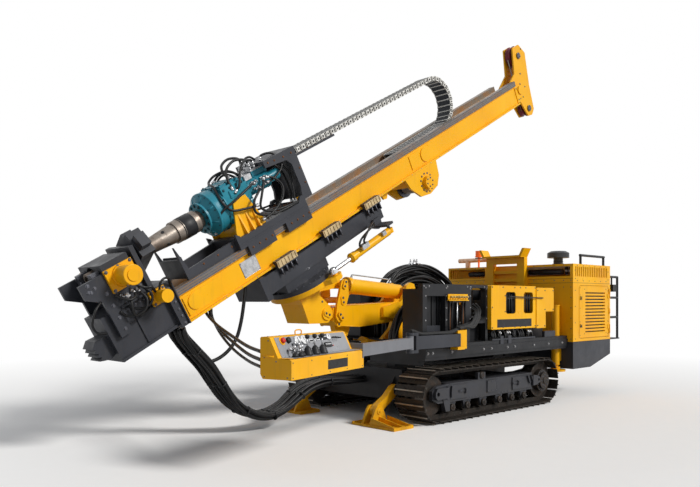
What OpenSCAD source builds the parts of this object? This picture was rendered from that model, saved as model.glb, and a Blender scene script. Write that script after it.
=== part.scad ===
// Crawler drilling rig with a sliding mast, a rotary head, a winch and a control console.
// Machine frame: +X towards the drilling end, +Y towards the console, +Z up, ground at 0.
// Mast frame: s runs down the mast, w stands off it, both from the turntable's centre.

/* [Crawler] */
// Distance between sprocket and idler axles
axle_span = 2450; // [2200:50:2600]
// Outer radius of the track round a wheel, over the grousers
track_r = 335; // [310:5:360]
// Width of a track shoe
shoe_w = 450; // [350:10:460]
// Distance from the middle of the machine to the middle of a track
track_y = 1025; // [1020:5:1040]
// Number of shoes on each track
shoe_count = 46; // [40:1:48]
// Number of links round a sprocket
sprocket_links = 12; // [11:1:13]
// Height of a grouser bar
grouser_h = 25; // [15:1:35]

/* [Chassis] */
// Half width of the deck
deck_y = 1100; // [1090:5:1110]
// Top of the deck
deck_z = 950; // [940:5:960]
// Front end of the deck
deck_x1 = 1330; // [1310:5:1350]
// Front face of the engine hood
hood_x1 = -2070; // [-2090:5:-2050]
// Rear face of the engine hood
hood_x0 = -3300; // [-3350:10:-3250]
// Half width of the hood
hood_y = 1200; // [1180:5:1220]
// Bottom of the hood and top of its base
hood_z0 = 855; // [840:5:870]
// Roof of the hood
hood_z1 = 2060; // [2040:10:2100]
// Wall of the hood
hood_t = 30; // [20:1:40]

/* [Boom] */
// Boom root pin, along the machine
root_x = 320; // [310:1:330]
// Boom root pin, height
root_z = 1330; // [1320:1:1340]
// Head pin at the tip of the boom, along the machine
tip_x = 2120; // [2110:1:2130]
// Head pin at the tip of the boom, height
tip_z = 1330; // [1320:1:1340]
// Radial clearance of every pin in its eye
pin_fit = 0.05; // [0.02:0.01:0.1]

/* [Mast] */
// Slope of the mast below the horizontal
mast_tilt = 29.2; // [28:0.1:30]
// Turntable centre, along the machine
turn_x = 2370; // [2360:1:2380]
// Turntable centre, height
turn_z = 1680; // [1670:1:1690]
// Lower end of the mast beam
mast_s1 = 1660; // [1640:10:1680]
// Upper end of the mast beam
mast_s0 = -5400; // [-5450:10:-5300]
// Half width of the mast beam
mast_y = 200; // [190:1:205]
// Underside of the mast beam
mast_w0 = 450; // [445:1:455]
// Top of the mast beam
mast_w1 = 750; // [740:1:755]
// Height of the drill line
drill_w = 1290; // [1280:1:1300]
// Radius of the drill pipe
pipe_r = 65; // [50:1:70]
// Bore of the drill pipe
pipe_bore_r = 40; // [30:1:45]

/* [Energy chain] */
// Height of a chain link
link_h = 65; // [55:1:70]
// Half width of the chain
link_y = 125; // [110:1:130]
// Outer radius of the bend
bend_r = 376; // [360:1:380]

/* [Console] */
// Length of the control console
console_l = 1300; // [1200:10:1400]
// Depth of the control console
console_d = 310; // [300:10:340]

/* [Hidden] */

// The plan centre of the whole machine is the origin
rail_x0 = -3790;
clamp_s1 = 2500;
clamp_w1 = drill_w + 30;
console_turn = 17.9;
console_px = [2980, 1700];
x_front = turn_x + clamp_s1 * cos(mast_tilt) + clamp_w1 * sin(mast_tilt);
y_left = console_px[1] + console_l * sin(console_turn);
y_right = -(track_y + shoe_w / 2);
origin_x = (x_front + rail_x0) / 2;
origin_y = (y_left + y_right) / 2;

// Track loop
axle_x = axle_span / 2;
axle_z = track_r;
shoe_r = track_r - grouser_h;
shoe_t = 14;
link_pitch = 2 * axle_span / (shoe_count - sprocket_links);
pitch_r = sprocket_links * link_pitch / (2 * PI);
chain_r0 = 240;
chain_r1 = shoe_r - shoe_t + 2;
chain_y = 60;
chain_w = 40;

// Shared colours
yellow = "#FCB514";
grey = "#3A3D42";
dark = "#1E2024";
steel = "#8A8D90";
chrome = "#D5D8DC";

// Positions in the machine frame and in the mast frame
module machine() { translate([-origin_x, -origin_y, 0]) children(); }
module mast() { machine() translate([turn_x, 0, turn_z]) rotate([0, mast_tilt, 0]) children(); }

// Box from its lowest to its highest corner
module block(x0, x1, y0, y1, z0, z1) {
    translate([x0, y0, z0]) cube([x1 - x0, y1 - y0, z1 - z0]);
}
// The same on both sides of the middle
module block2(x0, x1, y0, y1, z0, z1) {
    block(x0, x1, y0, y1, z0, z1);
    block(x0, x1, -y1, -y0, z0, z1);
}
// Round bar across the machine, from y0 to y1
module across(x, z, r, y0, y1, fn = 48) {
    translate([x, y0, z]) rotate([-90, 0, 0]) cylinder(r = r, h = y1 - y0, $fn = fn);
}
module across2(x, z, r, y0, y1, fn = 48) {
    across(x, z, r, y0, y1, fn);
    across(x, z, r, -y1, -y0, fn);
}
// Round bar along the machine
module along(x0, x1, y, z, r, fn = 48) {
    translate([x0, y, z]) rotate([0, 90, 0]) cylinder(r = r, h = x1 - x0, $fn = fn);
}
// Upright round bar
module upright(x, y, z0, z1, r, fn = 48) {
    translate([x, y, z0]) cylinder(r = r, h = z1 - z0, $fn = fn);
}
// Side profile given in X and Z, from y0 to y1
module side(y0, y1) {
    translate([0, y1, 0]) rotate([90, 0, 0]) linear_extrude(y1 - y0) children();
}
module side2(y0, y1) {
    side(y0, y1) children();
    side(-y1, -y0) children();
}
// Plan profile given in X and Y
module plan(z0, z1) { translate([0, 0, z0]) linear_extrude(z1 - z0) children(); }
// Rectangle with true round corners
module round_rect(x0, x1, z0, z1, r) {
    translate([x0 + r, z0]) square([x1 - x0 - 2 * r, z1 - z0]);
    translate([x0, z0 + r]) square([x1 - x0, z1 - z0 - 2 * r]);
    for (x = [x0 + r, x1 - r], z = [z0 + r, z1 - r]) translate([x, z]) circle(r = r, $fn = 32);
}
// Bar between two points of a side profile
module strut(a, b, t) {
    d = b - a;
    translate(a) rotate(atan2(d[1], d[0])) translate([0, -t / 2]) square([norm(d), t]);
}
// Round bar between two points in space
module bar(a, b, r, fn = 32) {
    d = b - a;
    translate(a) rotate([0, acos(d[2] / norm(d)), atan2(d[1], d[0])]) cylinder(r = r, h = norm(d), $fn = fn);
}

// Place and turn of the shoe at distance t along the track's pitch line
function lap(t) = let (u = t % (shoe_count * link_pitch), a = axle_span, c = PI * pitch_r)
    u < a ? [-axle_x + u, 0, 0] :
    u < a + c ? [axle_x, 0, (u - a) / pitch_r * 180 / PI] :
    u < 2 * a + c ? [axle_x - (u - a - c), 0, 180] :
    [-axle_x, 0, 180 + (u - 2 * a - c) / pitch_r * 180 / PI];

module shoe_profile() {
    polygon([[-link_pitch * 0.48, -shoe_r], [-9, -shoe_r], [-6, -track_r], [6, -track_r],
        [9, -shoe_r], [link_pitch * 0.48, -shoe_r], [link_pitch * 0.48, shoe_t - shoe_r],
        [-link_pitch * 0.48, shoe_t - shoe_r]]);
}
module loop_band(r0, r1) {
    difference() {
        union() {
            for (x = [-axle_x, axle_x]) translate([x, 0]) circle(r = r1, $fn = 40);
            translate([-axle_x, -r1]) square([axle_span, 2 * r1]);
        }
        for (x = [-axle_x, axle_x]) translate([x, 0]) circle(r = r0, $fn = 40);
        translate([-axle_x, -r0]) square([axle_span, 2 * r0]);
    }
}
// One fixed loop: shoes with a grouser bar each, on two rows of links
module track(sy) {
    machine() translate([0, sy * track_y, axle_z]) color(dark) {
        side(-shoe_w / 2, shoe_w / 2) for (i = [0:shoe_count - 1])
            let (p = lap((i + 0.5) * link_pitch)) translate([p[0], p[1]]) rotate(p[2]) shoe_profile();
        side2(chain_y - chain_w / 2, chain_y + chain_w / 2) loop_band(chain_r0, chain_r1);
    }
}
module track_left() { track(1); }
module track_right() { track(-1); }

// Rollers of one track: [X, height, radius, half width]
roller_gap = 0.4;
roller_z = axle_z - chain_r0 + 70 + roller_gap;
rollers = [
    [axle_x - 335, roller_z, 70, 104.7], [axle_x - 645, roller_z, 70, 104.7],
    [230, roller_z, 70, 104.7], [-130, roller_z, 70, 104.7],
    [795 - axle_x, roller_z, 70, 104.7], [495 - axle_x, roller_z, 70, 104.7],
    [280, axle_z + chain_r0 - 50 - roller_gap, 50, 104.7]];
module running_gear() {
    machine() color(steel) for (sy = [-1, 1]) translate([0, sy * track_y, 0]) {
        for (r = rollers) across(r[0], r[1], r[2], -r[3], r[3]);
        // front idler with its axle
        across(axle_x, axle_z, chain_r0 - roller_gap, -82, 82);
        across(axle_x, axle_z, chain_r0 + 16, -36, 36);
        across(axle_x, axle_z, 70, -104.7, 104.7);
        // toothed sprocket with its round final drive
        across(-axle_x, axle_z, chain_r0 - roller_gap, -82, 82);
        mirror([0, sy < 0 ? 1 : 0, 0]) across(-axle_x, axle_z, 140, -104.7, -82);
        side(-24, 24) for (i = [0:sprocket_links - 1]) translate([-axle_x, axle_z])
            rotate(i * 360 / sprocket_links + 15)
                polygon([[210, -34], [pitch_r - 22, -16], [pitch_r - 14, 0], [pitch_r - 22, 16], [210, 34]]);
        mirror([0, sy < 0 ? 1 : 0, 0]) {
            across(-axle_x, axle_z, 160, 82, 150);
            across(-axle_x, axle_z, 120, 150, 185);
        }
    }
}

// Frame of each track with its yoke, its drive bracket and its roller brackets
frame_y0 = track_y - 155;
frame_y1 = track_y + 155;
// Inner and outer plates that carry the rollers
plate_y0 = track_y - 105;
plate_y1 = track_y + 105;
module track_frames() {
    machine() color(grey) for (sy = [-1, 1]) mirror([0, sy < 0 ? 1 : 0, 0]) difference() {
        union() {
            block(295 - axle_x, axle_x - 265, frame_y0, frame_y1, 240, 470);
            // yoke arms of the idler
            side(frame_y0, plate_y0) yoke_profile();
            side(plate_y1, frame_y1) yoke_profile();
            // drive bracket
            side(frame_y0, plate_y0) drive_profile();
            // roller brackets, front toe, inner guard, carrier roller bracket and tie lugs
            for (i = [0:5]) {
                side(plate_y1, plate_y1 + 30) polygon([[rollers[i][0] - 85, 242], [rollers[i][0] - 42, 125],
                    [rollers[i][0] + 42, 125], [rollers[i][0] + 85, 242]]);
                across(rollers[i][0], roller_z, 40, frame_y1 - 30, frame_y1 - 4, 24);
            }
            side(plate_y1, frame_y1 + 10) translate([axle_x, 0])
                polygon([[-265, 300], [-265, 130], [-185, 130], [-125, 300]]);
            side(frame_y0, plate_y0)
                polygon([[345 - axle_x, 242], [405 - axle_x, 120], [axle_x - 265, 120], [axle_x - 215, 242]]);
            block(200, 360, plate_y1, frame_y1, 470, 560);
            block(200, 360, frame_y0, plate_y0, 470, 560);
            side(frame_y1, frame_y1 + 45) translate([axle_x, 0])
                polygon([[-205, 300], [-205, 430], [15, 430], [50, 380], [50, 330], [15, 290]]);
            side(frame_y1 - 3, frame_y1 + 45) translate([-axle_x, 0])
                polygon([[325, 290], [325, 440], [225, 430], [145, 400], [145, 330], [225, 300]]);
            block(axle_x - 625, axle_x - 205, frame_y1, frame_y1 + 15, 270, 440);
            block(345 - axle_x, 805 - axle_x, frame_y1, frame_y1 + 15, 270, 440);
        }
        for (r = rollers) across(r[0], r[1], r[2] + roller_gap, plate_y0, plate_y1);
        across(axle_x, 360, 26, plate_y1 - 10, frame_y1 + 50);
        across(180 - axle_x, 365, 20, plate_y1 - 5, frame_y1 + 50);
    }
}
module yoke_profile() {
    translate([axle_x, 0]) polygon([[-265, 240], [-45, 240], [65, 290], [65, 400], [-25, 450], [-265, 470]]);
}
module drive_profile() {
    translate([-axle_x, 0])
        polygon([[295, 240], [25, 190], [-155, 250], [-175, 400], [-35, 500], [295, 470]]);
}

// Centre body, cross beams, front lugs, tail beam and lift cylinder lugs
lift_base = [450, 780];
stab_pin = [1440, 400];
stab_y = track_y - 325;
module chassis_frame() {
    machine() color(dark) difference() {
        union() {
            block(-1350, 1300, -450, 450, 330, 640);
            block2(500, 760, 450, frame_y0, 300, 460);
            block2(-760, -500, 450, frame_y0, 300, 460);
            block(1300, 1380, -(stab_y + 70), stab_y + 70, 250, 640);
            block(-2069.7, -1350, -450, 450, 470, 700);
            block2(-1300, -1050, 300, 450, 640, 760);
            block2(900, 1150, 300, 450, 640, 760);
            side2(stab_y - 55, stab_y - 42) lug_profile();
            side2(stab_y + 42, stab_y + 55) lug_profile();
            side2(62, 92) polygon([[360, 640], [370, 790], [420, 850], [490, 850], [530, 790], [560, 640]]);
            across(lift_base[0], lift_base[1], 30, -92, 92);
            across2(stab_pin[0], stab_pin[1], 25, stab_y - 55, stab_y + 55);
        }
        across2(0, 380, 60, 440, 451);
    }
}
module lug_profile() {
    polygon([[1380, 260], [1430, 320], [1490, 350], [1500, 400], [1480, 450], [1430, 480], [1380, 560]]);
}

// Deck of rims and cross beams under one plate, with a slot for the lift cylinder
module deck() {
    machine() color(dark) difference() {
        union() {
            block2(-2069.7, deck_x1, 1000, deck_y, 760, deck_z - 30);
            for (x = [-2069.7, -1300, 900]) block(x, x + 120, -1000, 1000, 760, deck_z - 30);
            block2(deck_x1 - 100, deck_x1, 175, 1000, 700, deck_z - 30);
            block(-2069.7, deck_x1, -deck_y, deck_y, deck_z - 30, deck_z);
            block2(-2069.7, deck_x1, deck_y, deck_y + 12, 800, 900);
        }
        block(300, deck_x1 + 1, -175, 175, 600, 1000);
    }
}

// Two yellow cheeks that carry the boom
module boom_bracket() {
    machine() color(yellow) {
        side2(205, 265) polygon([[60, deck_z], [140, 1300], [230, 1440], [330, 1450], [420, 1400],
            [440, 1300], [520, 1100], [700, deck_z]]);
        block(60, 200, -205, 205, deck_z, 1100);
        across(root_x, root_z, 45, -290, 290);
        across2(root_x, root_z, 70, 265, 280);
    }
}

// Engine as one plain block
module engine_block() {
    machine() color("#2B2B2B") block(-3100, -2300, -400, 400, 870.3, 1600);
}

// Hood: hollow shell with front windows, side slots and door openings
door_x0 = -3250;
door_x1 = -2250;
door_z0 = 900;
door_z1 = 1730;
slot_n = 18;
module hood_shell() {
    machine() color(yellow) difference() {
        block(hood_x0, hood_x1, -hood_y, hood_y, hood_z0 + 0.3, hood_z1);
        block(hood_x0 + hood_t, hood_x1 - hood_t, hood_t - hood_y, hood_y - hood_t, 800, hood_z1 - hood_t);
        // front windows
        block(hood_x1 - 60, hood_x1 + 1, 320, 1150, 1870, 2025);
        block(hood_x1 - 60, hood_x1 + 1, -1160, -420, 1870, 2025);
        // upright slots along both sides
        for (i = [0:slot_n - 1]) let (x = -3190 + i * 60)
            block(x, x + 28, -hood_y - 1, hood_y + 1, 1865, 2020);
        // door openings
        for (y = [-hood_y - 1, hood_y - hood_t - 1]) side(y, y + hood_t + 2)
            round_rect(door_x0, door_x1, door_z0, door_z1, 60);
        // rear grille openings
        for (y = [-900, -300, 300]) block(hood_x0 - 1, hood_x0 + 60, y, y + 560, 1120, 1700);
    }
}

// Door with louvre slots and hinge knuckles, hung on its rear edge
hinge_x = door_x0 - 8;
hinge_out = 12;
module engine_door(sy) {
    machine() mirror([0, sy < 0 ? 1 : 0, 0]) color(yellow) difference() {
        union() {
            side(hood_y - hood_t + 2, hood_y)
                round_rect(door_x0 + 6, door_x1 - 6, door_z0 + 6, door_z1 - 6, 54);
            for (z = [1030, 1530]) {
                upright(hinge_x, hood_y + hinge_out, z, z + 70, 10);
                block(hinge_x, hinge_x + 60, hood_y, hood_y + 8, z, z + 70);
            }
            for (z = [1090, 1510]) block(door_x1 - 90, door_x1 - 40, hood_y, hood_y + 10, z, z + 40);
        }
        for (i = [0:12]) let (z = 990 + i * 51)
            block(-3120, -2460, hood_y - hood_t, hood_y + 1, z, z + 26);
    }
}
module engine_door_left() { engine_door(1); }
module engine_door_right() { engine_door(-1); }

// Counterweight base under the hood, its rear edge cut upwards
module hood_base() {
    machine() color(grey) difference() {
        union() {
            side(-hood_y, hood_y) polygon([[hood_x1, 440], [hood_x1, hood_z0], [hood_x0, hood_z0],
                [hood_x0, 615], [-2620, 440]]);
            block(-3100, -2300, -400, 400, hood_z0, 870);
            // tie rings at the rear corners
            side2(900, 940) polygon([[hood_x0, 640], [hood_x0, 800], [hood_x0 - 70, 780], [hood_x0 - 70, 660]]);
        }
        across2(hood_x0 - 38, 720, 20, 899, 941);
    }
}

// Saddle in front of the hood that carries the lowered mast
module mast_rest() {
    machine() color(yellow) {
        for (y = [-330, 260]) block(hood_x1 + 0.3, hood_x1 + 90, y, y + 140, deck_z, 2220);
        for (z = [960, 1300, 1640, 1800, 1930]) block(hood_x1 + 0.3, hood_x1 + 70, -191, 261, z, z + 50);
        block(hood_x1 + 0.3, hood_x1 + 90, -330, 400, 2090, 2220);
        block(hood_x1 + 0.3, hood_x1 + 200, -330, 400, 2190, 2220);
        // two horns that catch the mast
        translate([hood_x1 + 0.3, 0, 0]) rotate([90, 0, 90]) linear_extrude(199.7) {
            polygon([[-330, 2195], [-285, 2195], [-355, 2330], [-400, 2330]]);
            polygon([[400, 2195], [355, 2195], [425, 2330], [470, 2330]]);
        }
    }
}

// Exhaust pipe lying on the roof
module exhaust() {
    machine() color("#6E5A4A") difference() {
        union() {
            upright(-2350, -980, hood_z1 + 0.3, 2200, 45);
            across(-2350, 2200, 38, -1170, -300);
            upright(-2350, -480, hood_z1 + 0.3, 2165, 18);
        }
        across(-2350, 2200, 33, -500, -299);
    }
}

// Mushroom air intake
module air_intake() {
    machine() color(dark) {
        upright(-2600, 650, hood_z1 + 0.3, 2190, 75);
        upright(-2600, 650, 2190, 2270, 175);
        translate([-2600, 650, 2270]) cylinder(r1 = 175, r2 = 120, h = 30, $fn = 48);
    }
}

// Rotating beacon on its stalk
module beacon() {
    machine() color("#F08010") {
        upright(-2200, -640, hood_z1 + 0.3, 2240, 16);
        upright(-2200, -640, 2240, 2258, 66);
        upright(-2200, -640, 2258, 2350, 58);
    }
}

// Roof rail and rear ladder of round tube
rail_r = 20;
module handrails() {
    machine() color(grey) {
        ladder_y = hood_y - 100;
        block(rail_x0, hood_x0 - 0.3, ladder_y - 190, ladder_y + 30, 840, 860);
        bar([rail_x0 + rail_r, ladder_y, 860], [rail_x0 + rail_r, ladder_y, 1890], rail_r);
        for (z = [1210, 1540, 1890]) bar([hood_x0 - 0.3, ladder_y, z], [rail_x0 + rail_r, ladder_y, z], rail_r);
        bar([hood_x0 - 60, ladder_y, 860], [hood_x0 - 60, ladder_y, 1890], rail_r);
        // work lamp
        block(hood_x0 - 330, hood_x0 - 190, ladder_y - 60, ladder_y + 60, 1640, 1760);
        upright(hood_x0 - 260, ladder_y, 1760, 1890, 14);
        // roof rail
        bar([hood_x0 + 40, ladder_y, hood_z1 + 0.3], [hood_x0 + 40, ladder_y, 2210], rail_r);
        bar([-2490, ladder_y, hood_z1 + 0.3], [-2490, ladder_y, 2210], rail_r);
        bar([hood_x0 + 20, ladder_y, 2210], [-2470, ladder_y, 2210], rail_r);
    }
}

// Black frame that holds the hoses, on the console side
module deck_frame() {
    machine() color(dark) {
        side(960, 1040) difference() {
            polygon([[-50, deck_z], [-50, 1700], [1300, 1700], [1300, deck_z], [1220, deck_z],
                [1220, 1550], [860, 1550], [860, deck_z], [800, deck_z], [800, 1550], [430, 1550],
                [430, deck_z], [350, deck_z], [350, 1190], [0, 1190], [0, deck_z]]);
            round_rect(-10, 320, 1230, 1660, 60);
        }
        // shelf with the hose fittings
        side(940, 1060) polygon([[430, 1470], [800, 1470], [800, 1500], [430, 1500]]);
        block(430, 800, 960, 1040, 1090, 1110);
        // cooler and battery case behind the frame
        difference() {
            block(440, 1220, 640, 935, deck_z, 1640);
            for (x = [500:100:1160]) block(x, x + 22, 905, 936, 990, 1600);
        }
        block(-40, 400, 700, 900, deck_z, 1200);
    }
}

// Sheet cover over the valves with two windows, and the small cases behind it
module valve_cover() {
    machine() color(yellow) difference() {
        union() {
            side(940, 1100) round_rect(-1170, -50.3, 1100, 1700, 20);
            side(960, 1112) polygon([[-1650, 1330], [-1650, 1660], [-1630, 1680], [-1190, 1680],
                [-1170.3, 1660], [-1170.3, 1090], [-1420, 1090], [-1420, 1330]]);
        }
        block(-1150, -70, 939, 1092, 1120, 1680);
        side(1090, 1101) {
            round_rect(-640, -400, 1310, 1610, 40);
            round_rect(-1090, -850, 1310, 1610, 40);
        }
    }
}

// Valve blocks, hoses' manifolds and reels behind and below the cover
valve_sections = [ // [X, width, top]
    [-1120, 150, 1640], [-940, 150, 1560], [-760, 150, 1640], [-580, 150, 1600], [-400, 150, 1640], [-220, 110, 1500]];
module valve_bank() {
    machine() color(dark) {
        for (v = valve_sections) block(v[0], v[0] + v[1], 760, 930, deck_z, v[2]);
        block(-1640, -1180, 760, 930, deck_z, 1300);
        for (v = valve_sections) across(v[0] + v[1] / 2, 1040, 45, 930, 1050, 32);
        block(-1140, -100, 700, 760, deck_z, 1640);
    }
}

// Tank on the far side with its round return filter
module side_tank() {
    machine() color(yellow) {
        side(-1090, -640) round_rect(-1300, 700, deck_z, 1700, 40);
        upright(-600, -840, 1700, 1950, 150);
        upright(-600, -840, 1950, 2000, 175);
        upright(300, -900, 1700, 1750, 60);
        block(-1700, -1360, -1060, -640, deck_z, 1420);
    }
}

// Hoses that arch from the deck to the boom
module deck_hoses() {
    machine() color(dark) for (y = [330, 400, 470]) translate([620, y, deck_z]) rotate([90, 0, 0])
        rotate_extrude(angle = 180, $fn = 64) translate([440 + (y - 330), 0]) circle(r = 28, $fn = 20);
}

// Upright tubes of the rear jacks and their brackets
jack_x = -1985;
jack_y = 950;
module rear_jack_posts() {
    machine() color(yellow) difference() {
        union() {
            for (sy = [-1, 1]) {
                upright(jack_x, sy * jack_y, deck_z, 1410, 62);
                upright(jack_x, sy * jack_y, 500, 759.7, 62);
                upright(jack_x, sy * jack_y, 1410, 1425, 72);
            }
            block2(hood_x1 + 0.3, jack_x, jack_y - 50, jack_y + 50, 560, 740);
        }
        for (sy = [-1, 1]) upright(jack_x, sy * jack_y, 499, 757, 45 + pin_fit);
    }
}
module rear_jack(sy) {
    machine() color(chrome) {
        upright(jack_x, sy * jack_y, 430, 756, 45);
        upright(jack_x, sy * jack_y, 400, 430, 150);
        upright(jack_x, sy * jack_y, 430, 470, 70);
    }
}
module rear_jack_left() { rear_jack(1); }
module rear_jack_right() { rear_jack(-1); }

// Stabiliser arm from the front of the chassis to its foot
foot_pin = [1790, 170];
module stabiliser_arm(sy) {
    machine() translate([0, sy * stab_y, 0]) color(grey) difference() {
        union() {
            side(-41.7, 41.7) difference() {
                polygon([[1400, 430], [1400, 370], [1440, 330], [1700, 160], [1760, 120], [1830, 130],
                    [1840, 190], [1800, 230], [1620, 330], [1500, 440], [1440, 460]]);
                translate([stab_pin[0], stab_pin[1]]) circle(r = 25 + pin_fit, $fn = 48);
            }
            across(foot_pin[0], foot_pin[1], 24, -80, 80);
        }
    }
}
module stabiliser_arm_left() { stabiliser_arm(1); }
module stabiliser_arm_right() { stabiliser_arm(-1); }

// Foot plate with two ears, a sloped web and three ribs
module stabiliser_foot(sy) {
    machine() mirror([0, sy < 0 ? 1 : 0, 0]) color(grey) difference() {
        union() {
            block(1620, 1960, stab_y - 220, stab_y + 470, 0, 24);
            side(stab_y - 80, stab_y - 50) ear_profile();
            side(stab_y + 50, stab_y + 80) ear_profile();
            for (x = [1640, 1780, 1920]) translate([x, 0, 0]) rotate([90, 0, 90]) linear_extrude(18)
                polygon([[stab_y + 80, 24], [stab_y + 80, 110], [stab_y + 450, 40], [stab_y + 450, 24]]);
        }
        across(foot_pin[0], foot_pin[1], 24 + pin_fit, stab_y - 100, stab_y + 100);
    }
}
module ear_profile() {
    polygon([[1640, 24], [1720, 190], [1760, 235], [1820, 235], [1860, 190], [1940, 24]]);
}
module stabiliser_foot_left() { stabiliser_foot(1); }
module stabiliser_foot_right() { stabiliser_foot(-1); }

// Console bracket, swinging link, arm and the control console
link_x0 = 800;
link_x1 = 1700;
link_y0 = 1180;
module console_bracket() {
    machine() color(yellow) {
        block(560, link_x0 - 52, deck_y + 12, 1150, 880, 1120);
        block(700, link_x0 + 45, deck_y + 12, link_y0 + 45, 880, 915);
        block(700, link_x0 + 45, deck_y + 12, link_y0 + 45, 1085, 1120);
        upright(link_x0, link_y0, 915, 1085, 28);
    }
}
module console_link() {
    machine() color(grey) difference() {
        union() {
            block(link_x0, link_x1 - 70, link_y0 - 40, link_y0 + 40, 922, 1078);
            upright(link_x0, link_y0, 920, 1080, 45);
            block(link_x1 - 110, link_x1, link_y0 - 40, link_y0 + 40, 880, 915);
            block(link_x1 - 110, link_x1, link_y0 - 40, link_y0 + 40, 1085, 1120);
            upright(link_x1, link_y0, 880, 915, 45);
            upright(link_x1, link_y0, 1085, 1120, 45);
            upright(link_x1, link_y0, 915, 1085, 28);
            block(link_x1 - 110, link_x1 - 70, link_y0 - 40, link_y0 + 40, 915, 1085);
        }
        upright(link_x0, link_y0, 900, 1100, 28 + pin_fit);
    }
}
flange_y = 85;
arm_end = [console_px[0] - 18 * cos(console_turn) + flange_y * sin(console_turn),
    console_px[1] - 18 * sin(console_turn) - flange_y * cos(console_turn)];
arm_turn = atan2(arm_end[1] - link_y0, arm_end[0] - link_x1);
arm_l = norm([arm_end[0] - link_x1, arm_end[1] - link_y0]);
module console_arm() {
    machine() color(grey) {
        translate([link_x1, link_y0, 0]) rotate([0, 0, arm_turn]) difference() {
            union() {
                block(0, arm_l, -45, 45, 940, 1060);
                upright(0, 0, 920, 1080, 45);
            }
            upright(0, 0, 900, 1100, 28 + pin_fit);
        }
        // flange on the end of the console
        translate(concat(console_px, 0)) rotate([0, 0, console_turn])
            block(-24, -0.3, -flange_y - 75, -flange_y + 75, 925, 1075);
    }
}
// Console profile in depth and height, with a sloped panel behind a front lip
console_z0 = 840;
console_profile = [[0, 0], [0, 160], [-15, 170], [-130, 175], [-215, 345], [-235, 352], [10 - console_d, 352],
    [-console_d, 342], [-console_d, 40], [25 - console_d, 0]];
module console_box() {
    machine() translate([console_px[0], console_px[1], console_z0]) rotate([0, 0, console_turn])
        color("#C9CBC8") difference() {
            rotate([90, 0, 90]) linear_extrude(console_l) polygon(console_profile);
            block(-60, 30, -102, 20, 90, 230);
        }
}

// Boom: box beam, cheek plates with the tilt cylinder's ear, tongue and lift lug
tilt_base = [530, 1610];
lever_base = [1870, 1300];
lever_top = [1800, 1700];
lift_eye = [1720, 1000];
module boom() {
    machine() color(grey) difference() {
        union() {
            side(-150, 150) polygon([[620, 1240], [1000, 1200], [1500, 1160], [1900, 1180], [1960, 1240],
                [1960, 1400], [1880, 1420], [700, 1470], [560, 1440], [540, 1300]]);
            side2(150, 198) polygon([[480, 1720], [560, 1740], [640, 1700], [680, 1580], [760, 1480],
                [900, 1450], [1100, 1400], [1100, 1280], [900, 1250], [700, 1225], [420, 1210],
                [280, 1250], [225, 1330], [260, 1430], [380, 1500], [440, 1600]]);
            side(-150, 150) polygon([[420, 1220], [620, 1240], [620, 1330], [430, 1330]]);
            side(-100, 100) polygon([[1960, 1240], [2120, 1240], [2200, 1290], [2205, 1340], [2170, 1405],
                [2080, 1420], [1960, 1400]]);
            // lift lug
            side(-45, 45) polygon([[1560, 1170], [1640, 980], [1690, 935], [1750, 935], [1790, 1000],
                [1840, 1185]]);
            across(tilt_base[0], tilt_base[1], 32, -210, 210);
            across2(lever_base[0], lever_base[1], 38, 150, 200);
            across2(tilt_base[0], tilt_base[1], 55, 198, 206);
        }
        across(root_x, root_z, 45 + pin_fit, -210, 210);
        across(tip_x, tip_z, 45 + pin_fit, -101, 101);
        across(lift_eye[0], lift_eye[1], 30, -60, 60);
    }
}

// A cylinder barrel and rod laid from a base eye a to a rod eye b
module ram_barrel(a, b, len, r, eye_r, eye_y, pin_r, neck = 60) {
    d = b - a;
    side_turn = atan2(d[1], d[0]);
    translate([a[0], 0, a[1]]) rotate([0, -side_turn, 0]) difference() {
        union() {
            across(0, 0, eye_r, -eye_y, eye_y);
            along(0, neck, 0, 0, eye_y);
            along(neck, len, 0, 0, r);
            along(len - 70, len, 0, 0, r + 12);
        }
        across(0, 0, pin_r + pin_fit, -eye_y - 1, eye_y + 1);
    }
}
module ram_bore(a, b, len, rod_r) {
    d = b - a;
    difference() {
        children();
        translate([a[0], 0, a[1]]) rotate([0, -atan2(d[1], d[0]), 0]) along(120, len + 1, 0, 0, rod_r + pin_fit);
    }
}
// Rod with a forked end that straddles its lug
module ram_rod(a, b, start, rod_r, fork_y0, fork_y1, eye_r, hole_r) {
    d = b - a;
    translate([a[0], 0, a[1]]) rotate([0, -atan2(d[1], d[0]), 0]) difference() {
        union() {
            along(start, norm(d) - eye_r - 80, 0, 0, rod_r);
            block(norm(d) - eye_r - 110, norm(d) - eye_r - 60, -fork_y1, fork_y1, -eye_r, eye_r);
            for (s = [-1, 1]) {
                y0 = s > 0 ? fork_y0 : -fork_y1;
                block(norm(d) - eye_r - 70, norm(d), y0, y0 + fork_y1 - fork_y0, -eye_r, eye_r);
                across(norm(d), 0, eye_r, y0, y0 + fork_y1 - fork_y0);
            }
        }
        if (hole_r > 0) across(norm(d), 0, hole_r, -fork_y1 - 1, fork_y1 + 1);
    }
}

// Lift cylinder
module lift_barrel() {
    machine() color(grey) ram_bore(lift_base, lift_eye, 880, 42)
        ram_barrel(lift_base, lift_eye, 880, 75, 60, 55, 30, 150);
}
module lift_rod() {
    machine() color(chrome) ram_rod(lift_base, lift_eye, 180, 42, 52, 85, 52, 30);
}

// Tilt cylinder on top of the boom
module tilt_barrel() {
    machine() color(grey) ram_bore(tilt_base, lever_top, 1080, 50)
        ram_barrel(tilt_base, lever_top, 1080, 100, 68, 60, 32);
}
module tilt_rod() {
    d = lever_top - tilt_base;
    machine() color(chrome) translate([tilt_base[0], 0, tilt_base[1]])
        rotate([0, -atan2(d[1], d[0]), 0]) difference() {
            union() {
                along(260, norm(d) - 30, 0, 0, 50);
                across(norm(d), 0, 60, -50, 50);
            }
            across(norm(d), 0, 32, -51, 51);
        }
}

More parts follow.
